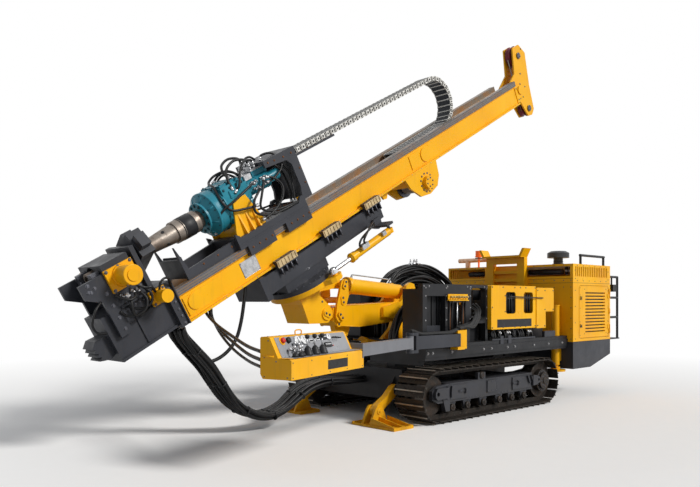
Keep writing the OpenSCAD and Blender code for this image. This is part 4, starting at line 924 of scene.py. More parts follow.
CLAMP_HOSES = [
    (13, [(1960, 300, 1030), (1930, 330, 960), (1960, 330, 880), (2040, 300, 850), (2110, 250, 880),
          (2150, 200, 930)]),
    (13, [(2010, 300, 1015), (2000, 340, 930), (2060, 350, 850), (2150, 310, 830), (2220, 250, 860),
          (2260, 252, 930)]),
    (13, [(2120, 300, 1020), (2160, 340, 960), (2180, 330, 860), (2120, 280, 800), (2020, 220, 790),
          (1950, 188, 800)]),
    (12, [(2060, 300, 1030), (2090, 330, 1000), (2150, 345, 1000), (2200, 320, 1040), (2240, 262, 1090)]),
    (12, [(1840, 330, 935), (1800, 350, 1000), (1730, 340, 1010), (1680, 300, 960), (1668, 250, 880)]),
    (13, [(1870, 300, 934), (1900, 330, 1000), (1960, 320, 1030), (2030, 300, 1110)]),
    (12, [(2380, 244, 1100), (2480, 280, 1060), (2560, 260, 960), (2540, 220, 860), (2450, 184, 800)]),
    (13, [(1960, -300, 1030), (1930, -330, 960), (1960, -330, 880), (2040, -300, 850), (2110, -250, 880),
          (2150, -200, 930)]),
    (13, [(2120, -300, 1020), (2160, -340, 960), (2180, -330, 860), (2120, -280, 800), (2020, -220, 790),
          (1950, -188, 800)]),
]
clamp_hoses = Bench(on_mast)
for radius, points in CLAMP_HOSES:
    clamp_hoses.tube(smooth_path(points, 12 + 4 * len(points)), radius, 9)
clamp_hoses.piece("clamp_hoses", "mast", hose_rubber, "hose_rubber")

# %% [markdown]
# The drill string starts with a thick coupling and narrows down to the pipe. A turned
# part shows as sharp rings, so a few grooves and a dark band are all that it needs, with
# the two cross holes that take a hook wrench. The holes are black plugs: painted shade for
# the dark inside them.

# %% Drill string rings
rings, wrench_hole_shade = Bench(on_mast), Bench(on_mast)
rings.tube([(1010, 0, DRILL_W), (1016, 0, DRILL_W), (1150, 0, DRILL_W), (1156, 0, DRILL_W)],
           [120, 124, 124, 120], 40)
rings.tube([(1160, 0, DRILL_W), (1164, 0, DRILL_W), (1172, 0, DRILL_W), (1176, 0, DRILL_W)],
           [119, 123, 123, 119], 40)
rings.piece("drill_coupling_band", "drill_string", dark, "pipe_steel")
# Painted shade: each wrench hole is a black plug, for the dark inside the hole.
for k in range(4):
    a = math.radians(50 + 90 * k)
    c, d = math.cos(a), math.sin(a)
    wrench_hole_shade.tube([(1390, 60 * c, DRILL_W + 60 * d), (1390, 101.5 * c, DRILL_W + 101.5 * d)], 17, 16)
wrench_hole_shade.piece("drill_wrench_hole_shade", "drill_string", black_plastic)

# %% [markdown]
# The track is a loop of dark cast shoes, each with a raised bar that the ground has
# rubbed bright. The solids carry the shoes and bars. What the eye misses is the bright
# crest of each bar and the four bolt heads on each shoe, so those are laid on, shoe by
# shoe, by walking round the same loop: straight, half round, straight, half round.

# %% Track crests and shoe bolts
TRACK_Y, SHOE_WIDE, AXLE_Z, AXLE_X = 1025.0, 450.0, 335.0, 1225.0
SHOE_COUNT, SPROCKET_LINKS, TRACK_R, SHOE_R = 46, 12, 335.0, 310.0
LINK = 2 * 2 * AXLE_X / (SHOE_COUNT - SPROCKET_LINKS)
PITCH_R = SPROCKET_LINKS * LINK / (2 * math.pi)


def lap(run):
    """Middle of the loop's wheel or line, and the turn there, as the solids have them."""
    a, c = 2 * AXLE_X, math.pi * PITCH_R
    if run < a:
        return -AXLE_X + run, 0.0
    if run < a + c:
        return AXLE_X, (run - a) / PITCH_R
    if run < 2 * a + c:
        return AXLE_X - (run - a - c), math.pi
    return -AXLE_X, math.pi + (run - 2 * a - c) / PITCH_R


for side, word in ((1, "left"), (-1, "right")):
    crests, shoe_bolts = Bench(), Bench()
    for i in range(SHOE_COUNT):
        x, turn = lap((i + 0.5) * LINK)
        out = np.array([math.sin(turn), -math.cos(turn)])
        along = np.array([math.cos(turn), math.sin(turn)])
        middle = np.array([x, AXLE_Z])
        corners = [middle + along * a + out * r for a, r in ((-8.4, TRACK_R - 7), (-7.0, TRACK_R + 0.9),
                                                             (7.0, TRACK_R + 0.9), (8.4, TRACK_R - 7))]
        if min(c[1] for c in corners) < 0:
            corners = [(c[0], max(0.0, c[1])) for c in corners]
        y0, y1 = side * TRACK_Y - SHOE_WIDE / 2 + 4, side * TRACK_Y + SHOE_WIDE / 2 - 4
        crests.prism([tuple(c) for c in corners][::-1], y0, y1)
        for y in (-80, -38, 38, 80):
            at = middle + along * 26 * (1 if abs(y) > 50 else -1) + out * SHOE_R
            shoe_bolts.bolt((at[0], side * TRACK_Y + y, at[1]), (out[0], 0, out[1]), 11, washer=False)
    crests.piece(f"track_crests_{word}", "chassis",
                 worn_steel(f"rubbed_crest_{word}", linear("A39A8E"), linear("6A5C50"),
                 linear("D6CFC6"), 0.45, 0.6, 0.5, 9), "track_steel")
    shoe_bolts.piece(f"track_shoe_bolts_{word}", "chassis", shoe_steel, "track_steel")

# %% [markdown]
# The side of the track frame is where the picture shows the most ironwork: an inspection
# plate with bolts, hooks, two lashing brackets, the caps of the six rollers with their
# bolt rings, and the big bolt circle of the final drive.

# %% Track frame trim
for side, word in ((1, "left"), (-1, "right")):
    caps, frame_bolts, trim = Bench(), Bench(), Bench()
    outer = side * 1180
    for x in (890, 580, 230, -130, -430, -730):
        caps.tube([(x, side * 1150, 165.4), (x, side * 1186, 165.4), (x, side * 1192, 165.4)], [46, 46, 38], 20)
        caps.disc((x, side * 1192, 165.4), (0, side, 0), 17, 8, 10)
        for k in range(5):
            a = 2 * math.pi * (k + 0.5) / 5
            frame_bolts.bolt((x + 31 * math.cos(a), side * 1192, 165.4 + 31 * math.sin(a)), (0, side, 0), 8, False)
        for dx in (-62, -38, 38, 62):
            frame_bolts.bolt((x + dx, side * 1160, 218), (0, side, 0), 13)
    caps.tube([(280, side * 1130, 524), (280, side * 1194, 524), (280, side * 1200, 524)], [46, 46, 36], 24)
    for k in range(6):
        a = 2 * math.pi * k / 6
        frame_bolts.bolt((280 + 30 * math.cos(a), side * 1200, 524 + 30 * math.sin(a)), (0, side, 0), 8, False)
    for k in range(20):
        a = 2 * math.pi * k / 20
        frame_bolts.bolt((-AXLE_X + 138 * math.cos(a), side * (TRACK_Y + 150), AXLE_Z + 138 * math.sin(a)),
                         (0, side, 0), 12)
    for k in range(8):
        a = 2 * math.pi * k / 8
        frame_bolts.bolt((-AXLE_X + 82 * math.cos(a), side * (TRACK_Y + 185), AXLE_Z + 82 * math.sin(a)),
                         (0, side, 0), 13)
    caps.tube([(-AXLE_X, side * 1209, AXLE_Z), (-AXLE_X, side * 1218, AXLE_Z), (-AXLE_X, side * 1222, AXLE_Z)],
              [46, 46, 36], 20)
    trim.block(-50, 170, *sorted((outer, side * 1192)), 285, 445, 10)
    for x in (-30, 60, 150):
        for z in (305, 425):
            frame_bolts.bolt((x, side * 1192, z), (0, side, 0), 11)
    for x0 in (930, 1010):
        trim.prism([(x0, 440), (x0 + 22, 440), (x0 + 34, 360), (x0 + 30, 300), (x0 + 8, 300), (x0 + 12, 360)],
                   *sorted((side * 1194, side * 1222)))
    for x0 in (-880, -790):
        trim.prism([(x0, 430), (x0 + 22, 440), (x0 - 20, 350), (x0 - 50, 330), (x0 - 56, 344), (x0 - 30, 362)],
                   *sorted((side * 1194, side * 1220)))
    for x0 in (640, -560):
        trim.block(x0, x0 + 34, *sorted((side * 1194, side * 1224)), 330, 390, 5)
        trim.block(x0 + 30, x0 + 150, *sorted((side * 1194, side * 1206)), 348, 376, 5)
        frame_bolts.bolt((x0 + 120, side * 1206, 362), (0, side, 0), 13)
        frame_bolts.bolt((x0 + 17, side * 1224, 362), (0, side, 0), 12)
    trim.block(-930, 960, *sorted((outer, side * 1186)), 240, 252)
    trim.block(-930, 960, *sorted((outer, side * 1186)), 458, 470)
    for x in (330, 400, 470, 540, -120, -190, -260, -330):
        frame_bolts.bolt((x, outer, 262), (0, side, 0), 9)
    caps.piece(f"track_roller_caps_{word}", "chassis", roller_steel, "track_steel")
    frame_bolts.piece(f"track_frame_bolts_{word}", "chassis", blade_steel, "bare_steel")
    trim.piece(f"track_frame_trim_{word}", "chassis", charcoal, "grey_paint")

# %% [markdown]
# The two stabilisers at the front are plain welded steel: a thick arm on a pin, and a
# foot plate stiffened by ribs. A round keeper plate with two bolts holds each pin, and
# thin strips edge the foot plate.

# %% Stabiliser trim
for side, word in ((1, "left"), (-1, "right")):
    keeper, foot_trim = Bench(), Bench()
    for at, y in (((1440, 400), 756), ((1440, 400), 644)):
        d = side if y > 700 else -side
        keeper.disc((at[0], side * y, at[1]), (0, d, 0), 42, 8, 20)
        keeper.bolt((at[0], side * y + d * 8, at[1] + 22), (0, d, 0), 9)
        keeper.bolt((at[0], side * y + d * 8, at[1] - 22), (0, d, 0), 9)
    keeper.piece(f"stabiliser_keepers_{word}", "chassis", blade_steel, "bare_steel")
    for y in (620, 780):
        d = side if y > 700 else -side
        foot_trim.disc((1790, side * y + d * 1, 170), (0, d, 0), 40, 8, 20)
        foot_trim.bolt((1790, side * y + d * 9, 170), (0, d, 0), 17)
    foot_trim.block(1622, 1958, *sorted((side * 1150, side * 1168)), 22, 38)
    foot_trim.block(1622, 1958, *sorted((side * 482, side * 500)), 22, 38)
    foot_trim.prism([(1622, 24), (1640, 24), (1640, 46), (1622, 40)], *sorted((side * 500, side * 1150)))
    foot_trim.piece(f"stabiliser_foot_trim_{word}", f"stabiliser_foot_{word}", yellow, "yellow_paint")

# %% [markdown]
# The engine hood is a box of folded sheet. Its joints are seen as thin dark lines, its
# panels are held by rows of small screws, and its door has a rim, two latches, three
# hinges and slanted louvre blades that hide the engine. A black sheet behind the blades
# is painted shade, so that the slots between them look dark. Behind the long openings at
# the top everything is dark, with a few pale pipes.

# %% Hood seams, screws, latches and hinges
seams, screws = Bench(), Bench()
for side in (-1, 1):
    y = side * 1200
    for z0, z1 in ((852, 858), (1764, 1768)):
        seams.block(-3300, -2070, *sorted((y, side * 1201.2)), z0, z1)
    for x in (-3225, -2140):
        for z in (900, 1150, 1400, 1650, 1830, 1960):
            screws.bolt((x, y, z), (0, side, 0), 9)
    for x in range(-3150, -2150, 190):
        screws.bolt((x, y, 1800), (0, side, 0), 9)
        screws.bolt((x, y, 2035), (0, side, 0), 9)
for z in (1764, 1830):
    seams.block(-2070.0, -2068.6, -1200, -420, z, z + 4)
    seams.block(-2070.0, -2068.6, 420, 1200, z, z + 4)
for y in (-1150, -980, -800, -620, -450, 330, 520, 700, 880, 1040, 1165):
    screws.bolt((-2070, y, 1806), (1, 0, 0), 9)
    screws.bolt((-2070, y, 2040), (1, 0, 0), 9)
    screws.bolt((-2070, y, 1700 if abs(y) > 400 else 2040), (1, 0, 0), 8)
for z in (900, 1060, 1220, 1380, 1540):
    for y in (1165, -1165):
        screws.bolt((-2070, y, z), (1, 0, 0), 9)
        screws.bolt((-3300, y, z), (-1, 0, 0), 9)
for y in range(-1100, 1101, 220):
    screws.bolt((-3300, y, 1990), (-1, 0, 0), 9)
    screws.bolt((-3240, y, 2060), (0, 0, 1), 9)
seams.piece("hood_seams", "chassis", black_plastic)
screws.piece("hood_screws", "chassis", blade_steel, "bare_steel")

for side, word in ((1, "left"), (-1, "right")):
    rim, blades, door_screws, latches, hinges = Bench(), Bench(), Bench(), Bench(), Bench()
    y = side * 1200
    out = side * 1203
    for x0, x1, z0, z1 in ((-3238, -2262, 912, 922), (-3238, -2262, 1708, 1718), (-3238, -3228, 912, 1718),
                           (-2272, -2262, 912, 1718)):
        rim.block(x0, x1, *sorted((y, out)), z0, z1)
    rim.piece(f"door_rim_{word}", f"engine_door_{word}", yellow, "yellow_paint")
    for k in range(13):
        z = 990 + 51 * k
        blades.add([(x, yy, zz) for x in (-3120, -2460) for yy, zz in
                    ((side * 1172, z + 26), (side * 1172, z + 23), (side * 1203, z + 19), (side * 1203, z + 24))],
                   [[0, 1, 2, 3], [7, 6, 5, 4], [0, 4, 5, 1], [1, 5, 6, 2], [2, 6, 7, 3], [3, 7, 4, 0]])
    blades.piece(f"door_louvre_blades_{word}", f"engine_door_{word}", yellow, "yellow_paint")
    # Painted shade: a black sheet behind the blades makes the slots between them look dark.
    louvre_shade_sheet = Bench()
    louvre_shade_sheet.block(-3115, -2465, *sorted((side * 1150, side * 1166)), 995, 1625)
    louvre_shade_sheet.piece(f"door_louvre_shade_sheet_{word}", f"engine_door_{word}", black_plastic)
    for x in (-3215, -2290):
        for z in (950, 1160, 1370, 1580, 1690):
            door_screws.bolt((x, y, z), (0, side, 0), 7)
    for x in (-3150, -2430):
        for z in (970, 1670):
            door_screws.bolt((x, y, z), (0, side, 0), 8)
    door_screws.piece(f"door_screws_{word}", f"engine_door_{word}", blade_steel, "bare_steel")
    for z in (1100, 1530):
        latches.block(-2345, -2285, *sorted((y, side * 1206)), z - 26, z + 26, 8)
        latches.block(-2330, -2300, *sorted((side * 1206, side * 1215)), z - 14, z + 14, 4)
    latches.piece(f"door_latches_{word}", f"engine_door_{word}", black_plastic)
    for z in (1000, 1320, 1640):
        hinges.tube([(-3262, side * 1206, z - 45), (-3262, side * 1206, z + 45)], 9, 10)
        hinges.block(-3300, -3262, *sorted((y, side * 1205)), z - 36, z + 36)
        hinges.bolt((-3284, side * 1205, z - 20), (0, side, 0), 7)
        hinges.bolt((-3284, side * 1205, z + 20), (0, side, 0), 7)
    hinges.piece(f"door_hinges_{word}", "chassis", yellow, "yellow_paint")

# %% [markdown]
# The engine fills the hood and shows through the openings: dark blocks, pipes, a plain
# radiator face and a few bright clamps. The picture shows none of it clearly, so this is
# what such an engine has, kept simple.

# %% Engine room
engine, pipes, clips = Bench(), Bench(), Bench()
for side in (-1, 1):
    for k in range(6):
        x = -2980 + 110 * k
        engine.block(x, x + 80, *sorted((side * 400, side * 470)), 1380, 1560, 10)
        pipes.tube(smooth_path([(x + 40, side * 440, 1560), (x + 40, side * 470, 1620),
                                (x + 60, side * 380, 1660)], 10), 22, 10)
    pipes.tube(smooth_path([(-3150, side * 560, 1200), (-2950, side * 600, 1500), (-2600, side * 560, 1640),
                            (-2200, side * 540, 1660)], 24), 55, 14)
    pipes.tube(smooth_path([(-3100, side * 700, 930), (-3000, side * 760, 1200), (-2800, side * 800, 1500),
                            (-2400, side * 760, 1560)], 24), 28, 10)
    for x in (-2950, -2700, -2450):
        clips.tube([(x - 12, side * 580, 1560), (x + 12, side * 580, 1566)], 62, 14)
    engine.block(-3040, -2420, *sorted((side * 470, side * 540)), 900, 1080, 20)
    for k in range(9):
        engine.block(-3010 + 66 * k, -2990 + 66 * k, *sorted((side * 400, side * 452)), 1100, 1340)
engine.block(-2250, -2160, -900, 900, 900, 1740)
pipes.tube([(-2300, 900, 1950), (-2300, 300, 1950)], 45, 14)
pipes.tube([(-2260, 1050, 1900), (-2260, 1050, 2020)], 26, 12)
pipes.tube([(-2260, 985, 1900), (-2260, 985, 2020)], 26, 12)
pipes.tube([(-2300, -900, 1950), (-2300, -500, 1950)], 45, 14)
for y in (1050, 985):
    clips.tube([(-2260, y, 1940), (-2260, y, 1975)], 29, 12)
engine.piece("engine_room_blocks", "chassis", dark, "black_paint")
pipes.piece("engine_room_pipes", "chassis", cover_rubber, "hose_rubber")
clips.piece("engine_room_clips", "chassis", silver, "bare_steel")

# %% [markdown]
# On the roof stand the things that need air: the intake with its ribbed dark dome, and
# the exhaust. Dark rings seat what stands there, and rows of bolts hold the roof's edges.

# %% Roof fittings
roof, roof_bolts, dome = Bench(), Bench(), Bench()
for k in range(16):
    a = 2 * math.pi * k / 16
    c, d = math.cos(a), math.sin(a)
    dome.tube([(-2600 + 60 * c, 650 + 60 * d, 2288), (-2600 + 120 * c, 650 + 120 * d, 2270),
               (-2600 + 138 * c, 650 + 138 * d, 2242)], 5, 5)
dome.piece("air_intake_ribs", "chassis", black_plastic, "black_paint")
roof.tube([(-2600, 650, 2080), (-2600, 650, 2096)], 92, 24)
roof.tube([(-2600, 650, 2120), (-2600, 650, 2132)], 80, 24)
roof.tube([(-2200, -640, 2218), (-2200, -640, 2226), (-2200, -640, 2232)], [66, 66, 50], 24)
roof.piece("roof_rings", "chassis", black_plastic, "black_paint")
for k in range(8):
    a = 2 * math.pi * k / 8
    roof_bolts.bolt((-2600 + 84 * math.cos(a), 650 + 84 * math.sin(a), 2060), (0, 0, 1), 8)
for x in range(-3200, -2150, 210):
    for y in (-1160, 1160):
        roof_bolts.bolt((x, y, 2060), (0, 0, 1), 9)
roof_bolts.piece("roof_bolts", "chassis", blade_steel, "bare_steel")

# %% [markdown]
# The operator stands at a long console. Its working face is one sloped grey panel in a
# yellow box: three levers in rubber boots, round gauges, two black displays, an emergency
# knob and a row of small switches. The panel has its own axes here: a along it from the
# arm's end, t up the slope and h out of it. That keeps each control a single short line.

# %% Console panel
def on_console(a, b, h):
    c, d = math.cos(CONSOLE_TURN), math.sin(CONSOLE_TURN)
    return on_machine(CONSOLE_CORNER[0] + a * c - b * d, CONSOLE_CORNER[1] + a * d + b * c, 840 + h)


def on_panel(a, t, h):
    return on_console(a, -130 - 0.447 * t + 0.894 * h, 175 + 0.894 * t + 0.447 * h)


panel, dials, dark_parts, bright, red_parts = (Bench(on_panel) for _ in range(5))
panel.block(35, 1245, 1, 186, 0.2, 4)
for a, t, r in ((915, 142, 42), (815, 142, 42), (370, 150, 30)):
    bright.tube([(a, t, 2), (a, t, 14), (a, t, 16)], [r + 5, r + 5, r], 26)
    dials.tube([(a, t, 10), (a, t, 17)], r - 1, 26)
    dark_parts.block(a - 3, a + 3, t - 2, t + r * 0.7, 17, 18.5)
for a, t, r in ((700, 125, 34), (575, 140, 28)):
    dials.block(a - r, a + r, t - 16, t + 16, 3, 14, 3)
    dark_parts.block(a - r + 6, a + r - 6, t - 9, t + 9, 14, 15)
for a, t in ((470, 150), (430, 72)):
    dark_parts.block(a - 62, a + 62, t - 24, t + 24, 3, 16, 5)
    for k in range(6):
        dials.block(a - 48 + 17 * k, a - 38 + 17 * k, t - 2, t + 10, 16, 17)
knob_base = Bench(on_panel)
knob_base.tube([(1150, 150, 2), (1150, 150, 8), (1150, 150, 10)], [38, 38, 34], 24)
knob_base.piece("console_stop_base", "console_arm", yellow, "yellow_paint")
red_parts.tube([(1150, 150, 8), (1150, 150, 30), (1150, 150, 34)], [24, 24, 14], 20)
dark_parts.tube([(1060, 150, 2), (1060, 150, 26), (1060, 150, 30)], [27, 27, 20], 20)
for a, t in ((1120, 60), (1040, 62), (1000, 40), (960, 96), (1010, 110)):
    bright.tube([(a, t, 2), (a, t, 26)], 7, 10)
    bright.tube([(a, t, 22), (a, t, 30), (a, t, 42), (a, t, 46)], [8, 17, 17, 7], 14)
for a in (300, 265, 230):
    dark_parts.tube([(a, 140, 2), (a, 140, 14)], 9, 10)
    dark_parts.tube([(a, 140, 12), (a, 118, 48), (a, 112, 58)], [5, 5, 8], 8)
    bright.block(a - 1.5, a + 1.5, 15, 130, 3.5, 5)
for a, t in ((560, 70), (560, 45), (520, 40), (380, 85), (340, 60)):
    red_parts.tube([(a, t, 2), (a, t, 10)], 6, 10)
for a in range(70, 1210, 160):
    for t in (8, 180):
        bright.bolt((a, t, 4), (0, 0, 1), 6, False)
panel.piece("console_panel", "console_arm", pale_grey, "console_grey")
dials.piece("console_dials", "console_arm", dial_white, "console_grey")
red_parts.piece("console_red_knobs", "console_arm", knob_red)
dark_parts.piece("console_switches", "console_arm", black_plastic)
bright.piece("console_bezels", "console_arm", silver, "bare_steel")

shelf = Bench(on_console)
shelf.block(35, 1245, -129, -20, 175.5, 177.5)
shelf.piece("console_shelf", "console_arm", pale_grey, "console_grey")
boots, sticks = Bench(on_console), Bench(on_console)
for a in (905, 780, 650):
    radii = [46, 47, 41, 43, 36, 38, 30, 32, 22, 14]
    heights = [176, 186, 192, 202, 208, 218, 224, 234, 246, 258]
    boots.tube([(a, -78 - 0.15 * (h - 176), h) for h in heights], radii, 18)
    sticks.tube([(a, -90, 250), (a, -92, 330)], 7, 10)
    boots.tube([(a, -92, 322), (a, -92, 332), (a, -92, 352), (a, -92, 360)], [12, 21, 21, 12], 14)
for a, b in ((1130, -70), (1060, -60), (1000, -80)):
    boots.tube([(a, b, 176), (a, b, 196), (a, b - 4, 216)], [32, 27, 12], 16)
    sticks.tube([(a, b - 4, 214), (a, b - 8, 250)], 6, 8)
    sticks.tube([(a, b - 8, 246), (a, b - 8, 254), (a, b - 8, 270), (a, b - 8, 276)], [8, 15, 15, 7], 12)
boots.piece("console_lever_boots", "console_arm", black_plastic)
sticks.piece("console_lever_sticks", "console_arm", silver, "bare_steel")

box_trim, box_screws = Bench(on_console), Bench(on_console)
for a in (25, 340, 660, 980, 1275):
    for h in (18, 142):
        box_screws.bolt((a, 0, h), (0, 1, 0), 7)
for b, h in ((-40, 20), (-270, 20), (-270, 180), (-150, 150), (-230, 320)):
    box_screws.bolt((1300, b, h), (1, 0, 0), 7)
for a in (60, 400, 740, 1080, 1250):
    box_screws.bolt((a, -268, 352), (0, 0, 1), 7)
box_trim.tube([(1303, -290, 190), (1303, -170, 190)], 7, 10)
box_trim.tube(smooth_path([(720, -270, 350), (720, -270, 385), (770, -270, 392), (820, -270, 385),
                           (820, -270, 350)], 18), 6, 8)
for a0, a1 in ((0, 35), (1245, 1300)):
    box_trim.prism([(a0, 175), (a1, 175), (a1, 178), (a0, 178)], -128, -16)
blank = Bench(on_console)
blank.block(330, 700, 0, 1.6, 40, 122)
blank.piece("console_front_plate_blank", "console_arm", black_plastic)
box_screws.piece("console_screws", "console_arm", blade_steel, "bare_steel")
box_trim.piece("console_trim", "console_arm", yellow, "yellow_paint")

# %% [markdown]
# Every big pin of the boom has a keeper: an oval plate with two bolts that stops the pin
# from turning. Pins, bosses and weld beads are what make plate work look heavy, so each
# pin gets its plate and its bolts, on the body that really carries it.

# %% Pins and keepers of the boom
def keeper(bench, bolts, x, z, y, turn_deg, long=62, wide=34):
    """An oval keeper plate at a pin, facing the side that y is on, with its two bolts."""
    d = 1 if y > 0 else -1
    c, e = math.cos(math.radians(turn_deg)), math.sin(math.radians(turn_deg))
    ring = []
    for k in range(20):
        a = 2 * math.pi * k / 20
        p, q = wide * math.cos(a) + (long - wide) * (1 if math.cos(a) > 0 else -1), wide * math.sin(a)
        ring.append((x + p * c - q * e, z + p * e + q * c))
    bench.prism(ring if d < 0 else ring, *sorted((y, y + d * 12)))
    for m in (-1, 1):
        bolts.bolt((x + m * (long - wide) * c, y + d * 12, z + m * (long - wide) * e), (0, d, 0), 17)


for body, places in (("chassis", ((320, 1330, 290, 60),)),
                     ("boom", ((530, 1610, 210, 100), (1870, 1300, 200, 50), (1870, 1225, 150, 90))),
                     ("tilt_lever", ((1800, 1700, 196, 110), (1832, 1500, 190, 80))),
                     ("head", ((2120, 1330, 222, 20), (2170, 1560, 50, 130)))):
    plates, bolts = Bench(), Bench()
    for x, z, y, turn_deg in places:
        for side in (-1, 1):
            keeper(plates, bolts, x, z, side * y, turn_deg)
    plates.piece(f"pin_keepers_{body}", body, yellow, "yellow_paint")
    bolts.piece(f"pin_keeper_bolts_{body}", body, blade_steel, "bare_steel")

welds = Bench()
for side in (-1, 1):
    y = side * 152
    outline = [(1100, 1400), (900, 1450), (760, 1480)]
    welds.tube([(x, y, z) for x, z in [(1100, 1400), (1100, 1280), (900, 1250), (700, 1225)]], 7, 6)
    welds.tube([(x, y, z) for x, z in outline], 7, 6)
    welds.tube([(700, side * 148, 1472), (1880, side * 148, 1422)], 6, 6)
    welds.tube([(1000, side * 148, 1199), (1500, side * 148, 1159), (1900, side * 148, 1179)], 6, 6)
welds.piece("boom_weld_beads", "boom", yellow, "yellow_paint")
bracket_trim = Bench()
for side in (-1, 1):
    y = side * 265
    bracket_trim.tube([(150, y, 960), (190, y, 1200), (250, y, 1400)], 8, 6)
    for x in (140, 260, 420, 560, 640):
        bracket_trim.bolt((x, side * 290, 950), (0, 0, 1), 20)
bracket_trim.piece("boom_bracket_trim", "chassis", yellow, "yellow_paint")

# %% [markdown]
# A cylinder is told by its ends: the rod comes out through a screwed gland, a plated
# hose fitting stands at each end of the barrel, and a thin steel pipe runs between them.
# Each of these is placed along the line from one eye to the other.

# %% Glands, ports and pipes of the cylinders
def cylinder_trim(name, body, base, tip, y, length, radius, mast_axes=False, port_up=1):
    place = on_mast if mast_axes else on_machine
    b, t = np.array([base[0], y, base[1]], float), np.array([tip[0], y, tip[1]], float)
    u = (t - b) / np.linalg.norm(t - b)
    n = np.array([-u[2], 0, u[0]]) * port_up
    gland, pipe = Bench(place), Bench(place)
    gland.tube([b + u * (length - 76), b + u * (length - 70), b + u * (length - 6), b + u * length],
               [radius + 8, radius + 15, radius + 15, radius + 9], 28)
    for k in range(8):
        a = 2 * math.pi * k / 8
        side_way = np.cross(u, n)
        at = b + u * length + (n * math.cos(a) + side_way * math.sin(a)) * (radius - 6)
        gland.bolt(at, u, 12, False)
    for run in (length * 0.22, length - 100):
        at = b + u * run + n * radius * 0.95
        pipe.tube([at, at + n * 34], 17, 6)
        pipe.tube([at + n * 34, at + n * 46], 11, 10)
    start, end = b + u * (length * 0.22) + n * (radius + 44), b + u * (length - 100) + n * (radius + 44)
    pipe.tube(smooth_path([start, start + u * 50 + n * 8, end - u * 50 + n * 8, end], 16), 9, 8)
    gland.piece(f"{name}_gland", body, yellow, "yellow_paint")
    pipe.piece(f"{name}_pipe", body, silver, "bare_steel")


cylinder_trim("tilt_cylinder", "tilt_barrel", (530, 1610), (1800, 1700), 0, 1080, 100, port_up=1)
cylinder_trim("lift_cylinder", "lift_barrel", (450, 780), (1720, 1000), 0, 880, 75, port_up=-1)

swing_block, swing_hoses = Bench(on_mast), Bench(on_mast)
swing_block.block(-820, -690, 480, 545, 100, 160, 6)
swing_block.block(-1180, -1110, 486, 530, 90, 140, 5)
swing_block.piece("swing_cylinder_valve", "swing_barrel", silver, "bare_steel")
for line in ([(-700, 530, 150), (-640, 560, 190), (-700, 560, 240), (-900, 500, 255), (-1100, 430, 250),
              (-1180, 330, 240)],
             [(-760, 530, 155), (-720, 580, 220), (-820, 580, 280), (-980, 500, 290), (-1140, 400, 280),
              (-1200, 320, 250)]):
    swing_hoses.tube(smooth_path(line, 30), 13, 9)
swing_hoses.piece("swing_cylinder_hoses", "swing_barrel", hose_rubber, "hose_rubber")
chrome_mark = Bench(on_mast)
chrome_mark.tube([(-556, 450, 75), (-548, 450, 75), (-535, 450, 75), (-528, 450, 75)], [60, 63, 63, 56], 24)
chrome_mark.piece("swing_cylinder_gland", "swing_barrel", yellow, "yellow_paint")
# the lug plates of the head and their pins
lug_trim = Bench()
for side in (-1, 1):
    for x, z in ((2150, 1290), (2060, 1330), (2190, 1480)):
        lug_trim.bolt((x, side * 205, z), (0, side, 0), 15)
lug_trim.piece("head_box_bolts", "head", blade_steel, "bare_steel")

# %% [markdown]
# Between the boom and the hood stands a row of dark frames, tanks and valves. What is
# seen is a yellow strip with hose fittings, thin upright pipes, bolts along the deck's
# rim, and small blocks in the shade. They make the middle of the machine look full.

# %% Deck frame trim
strip, fitting, deck_bolts, rods, shade, back_hoses = (Bench() for _ in range(6))
strip.block(425, 840, 1060, 1068, 1505, 1575, 5)
strip.block(425, 840, 1050, 1085, 1490, 1500)
for k in range(7):
    x = 465 + 54 * k
    fitting.tube([(x, 1066, 1540), (x, 1090, 1540)], 20 if k == 3 else 15, 6)
    fitting.tube([(x, 1088, 1540), (x, 1104, 1540)], 12, 10)
    if k in (0, 1, 5, 6):
        back_hoses.tube(smooth_path([(x, 1060, 1490), (x, 1050, 1400), (x + 8, 1046, 1250), (x, 1040, 1112)],
                                    14), 12, 8)
for x in (500, 770):
    rods.tube([(x, 1030, 1490), (x, 1030, 1110)], 20, 10)
silver_rod = Bench()
silver_rod.tube([(640, 1056, 1490), (640, 1056, 1112)], 10, 10)
silver_rod.piece("hose_strip_silver_pipe", "chassis", silver, "bare_steel")
back_hoses.piece("hose_strip_hoses", "chassis", hose_rubber, "hose_rubber")
strip.piece("hose_strip_blank", "chassis", yellow, "yellow_paint")
fitting.piece("hose_strip_fittings", "chassis", brass, "bare_steel")
rods.piece("hose_strip_pipes", "chassis", rusty, "bare_steel")
for side in (-1, 1):
    for x in (-1900, -1500, -1100, -600, -420, -40, 140, 820, 1200, 1290):
        deck_bolts.bolt((x, side * 1112, 850), (0, side, 0), 20)
    for x in (-40, 20, 330, 400, 820, 1180, 1280):
        deck_bolts.bolt((x, 1040 if side > 0 else -1100, 1670 if side > 0 else 870), (0, side, 0), 13)
for z in (1250, 1400, 1550, 1650):
    for x in (-30, 340, 840, 1245):
        deck_bolts.bolt((x, 1040, z), (0, 1, 0), 12)
deck_bolts.piece("deck_bolts", "chassis", machined, "bare_steel")
for x0, x1, y0, y1, z0, z1 in ((-520, -440, 1100, 1112, 900, 1010), (-330, -250, 1100, 1112, 900, 1010),
                               (-1140, -60, 1100, 1110, 955, 975), (-1700, -1400, 1060, 1108, 955, 1040),
                               (880, 1210, 940, 975, 955, 1180)):
    shade.block(x0, x1, y0, y1, z0, z1, 4)
shade.piece("deck_edge_brackets", "chassis", charcoal, "grey_paint")
cover_screws, cover_dark = Bench(), Bench()
for x in (-1150, -900, -760, -620, -330, -75):
    for z in (1125, 1675):
        cover_screws.bolt((x, 1100, z), (0, 1, 0), 12)
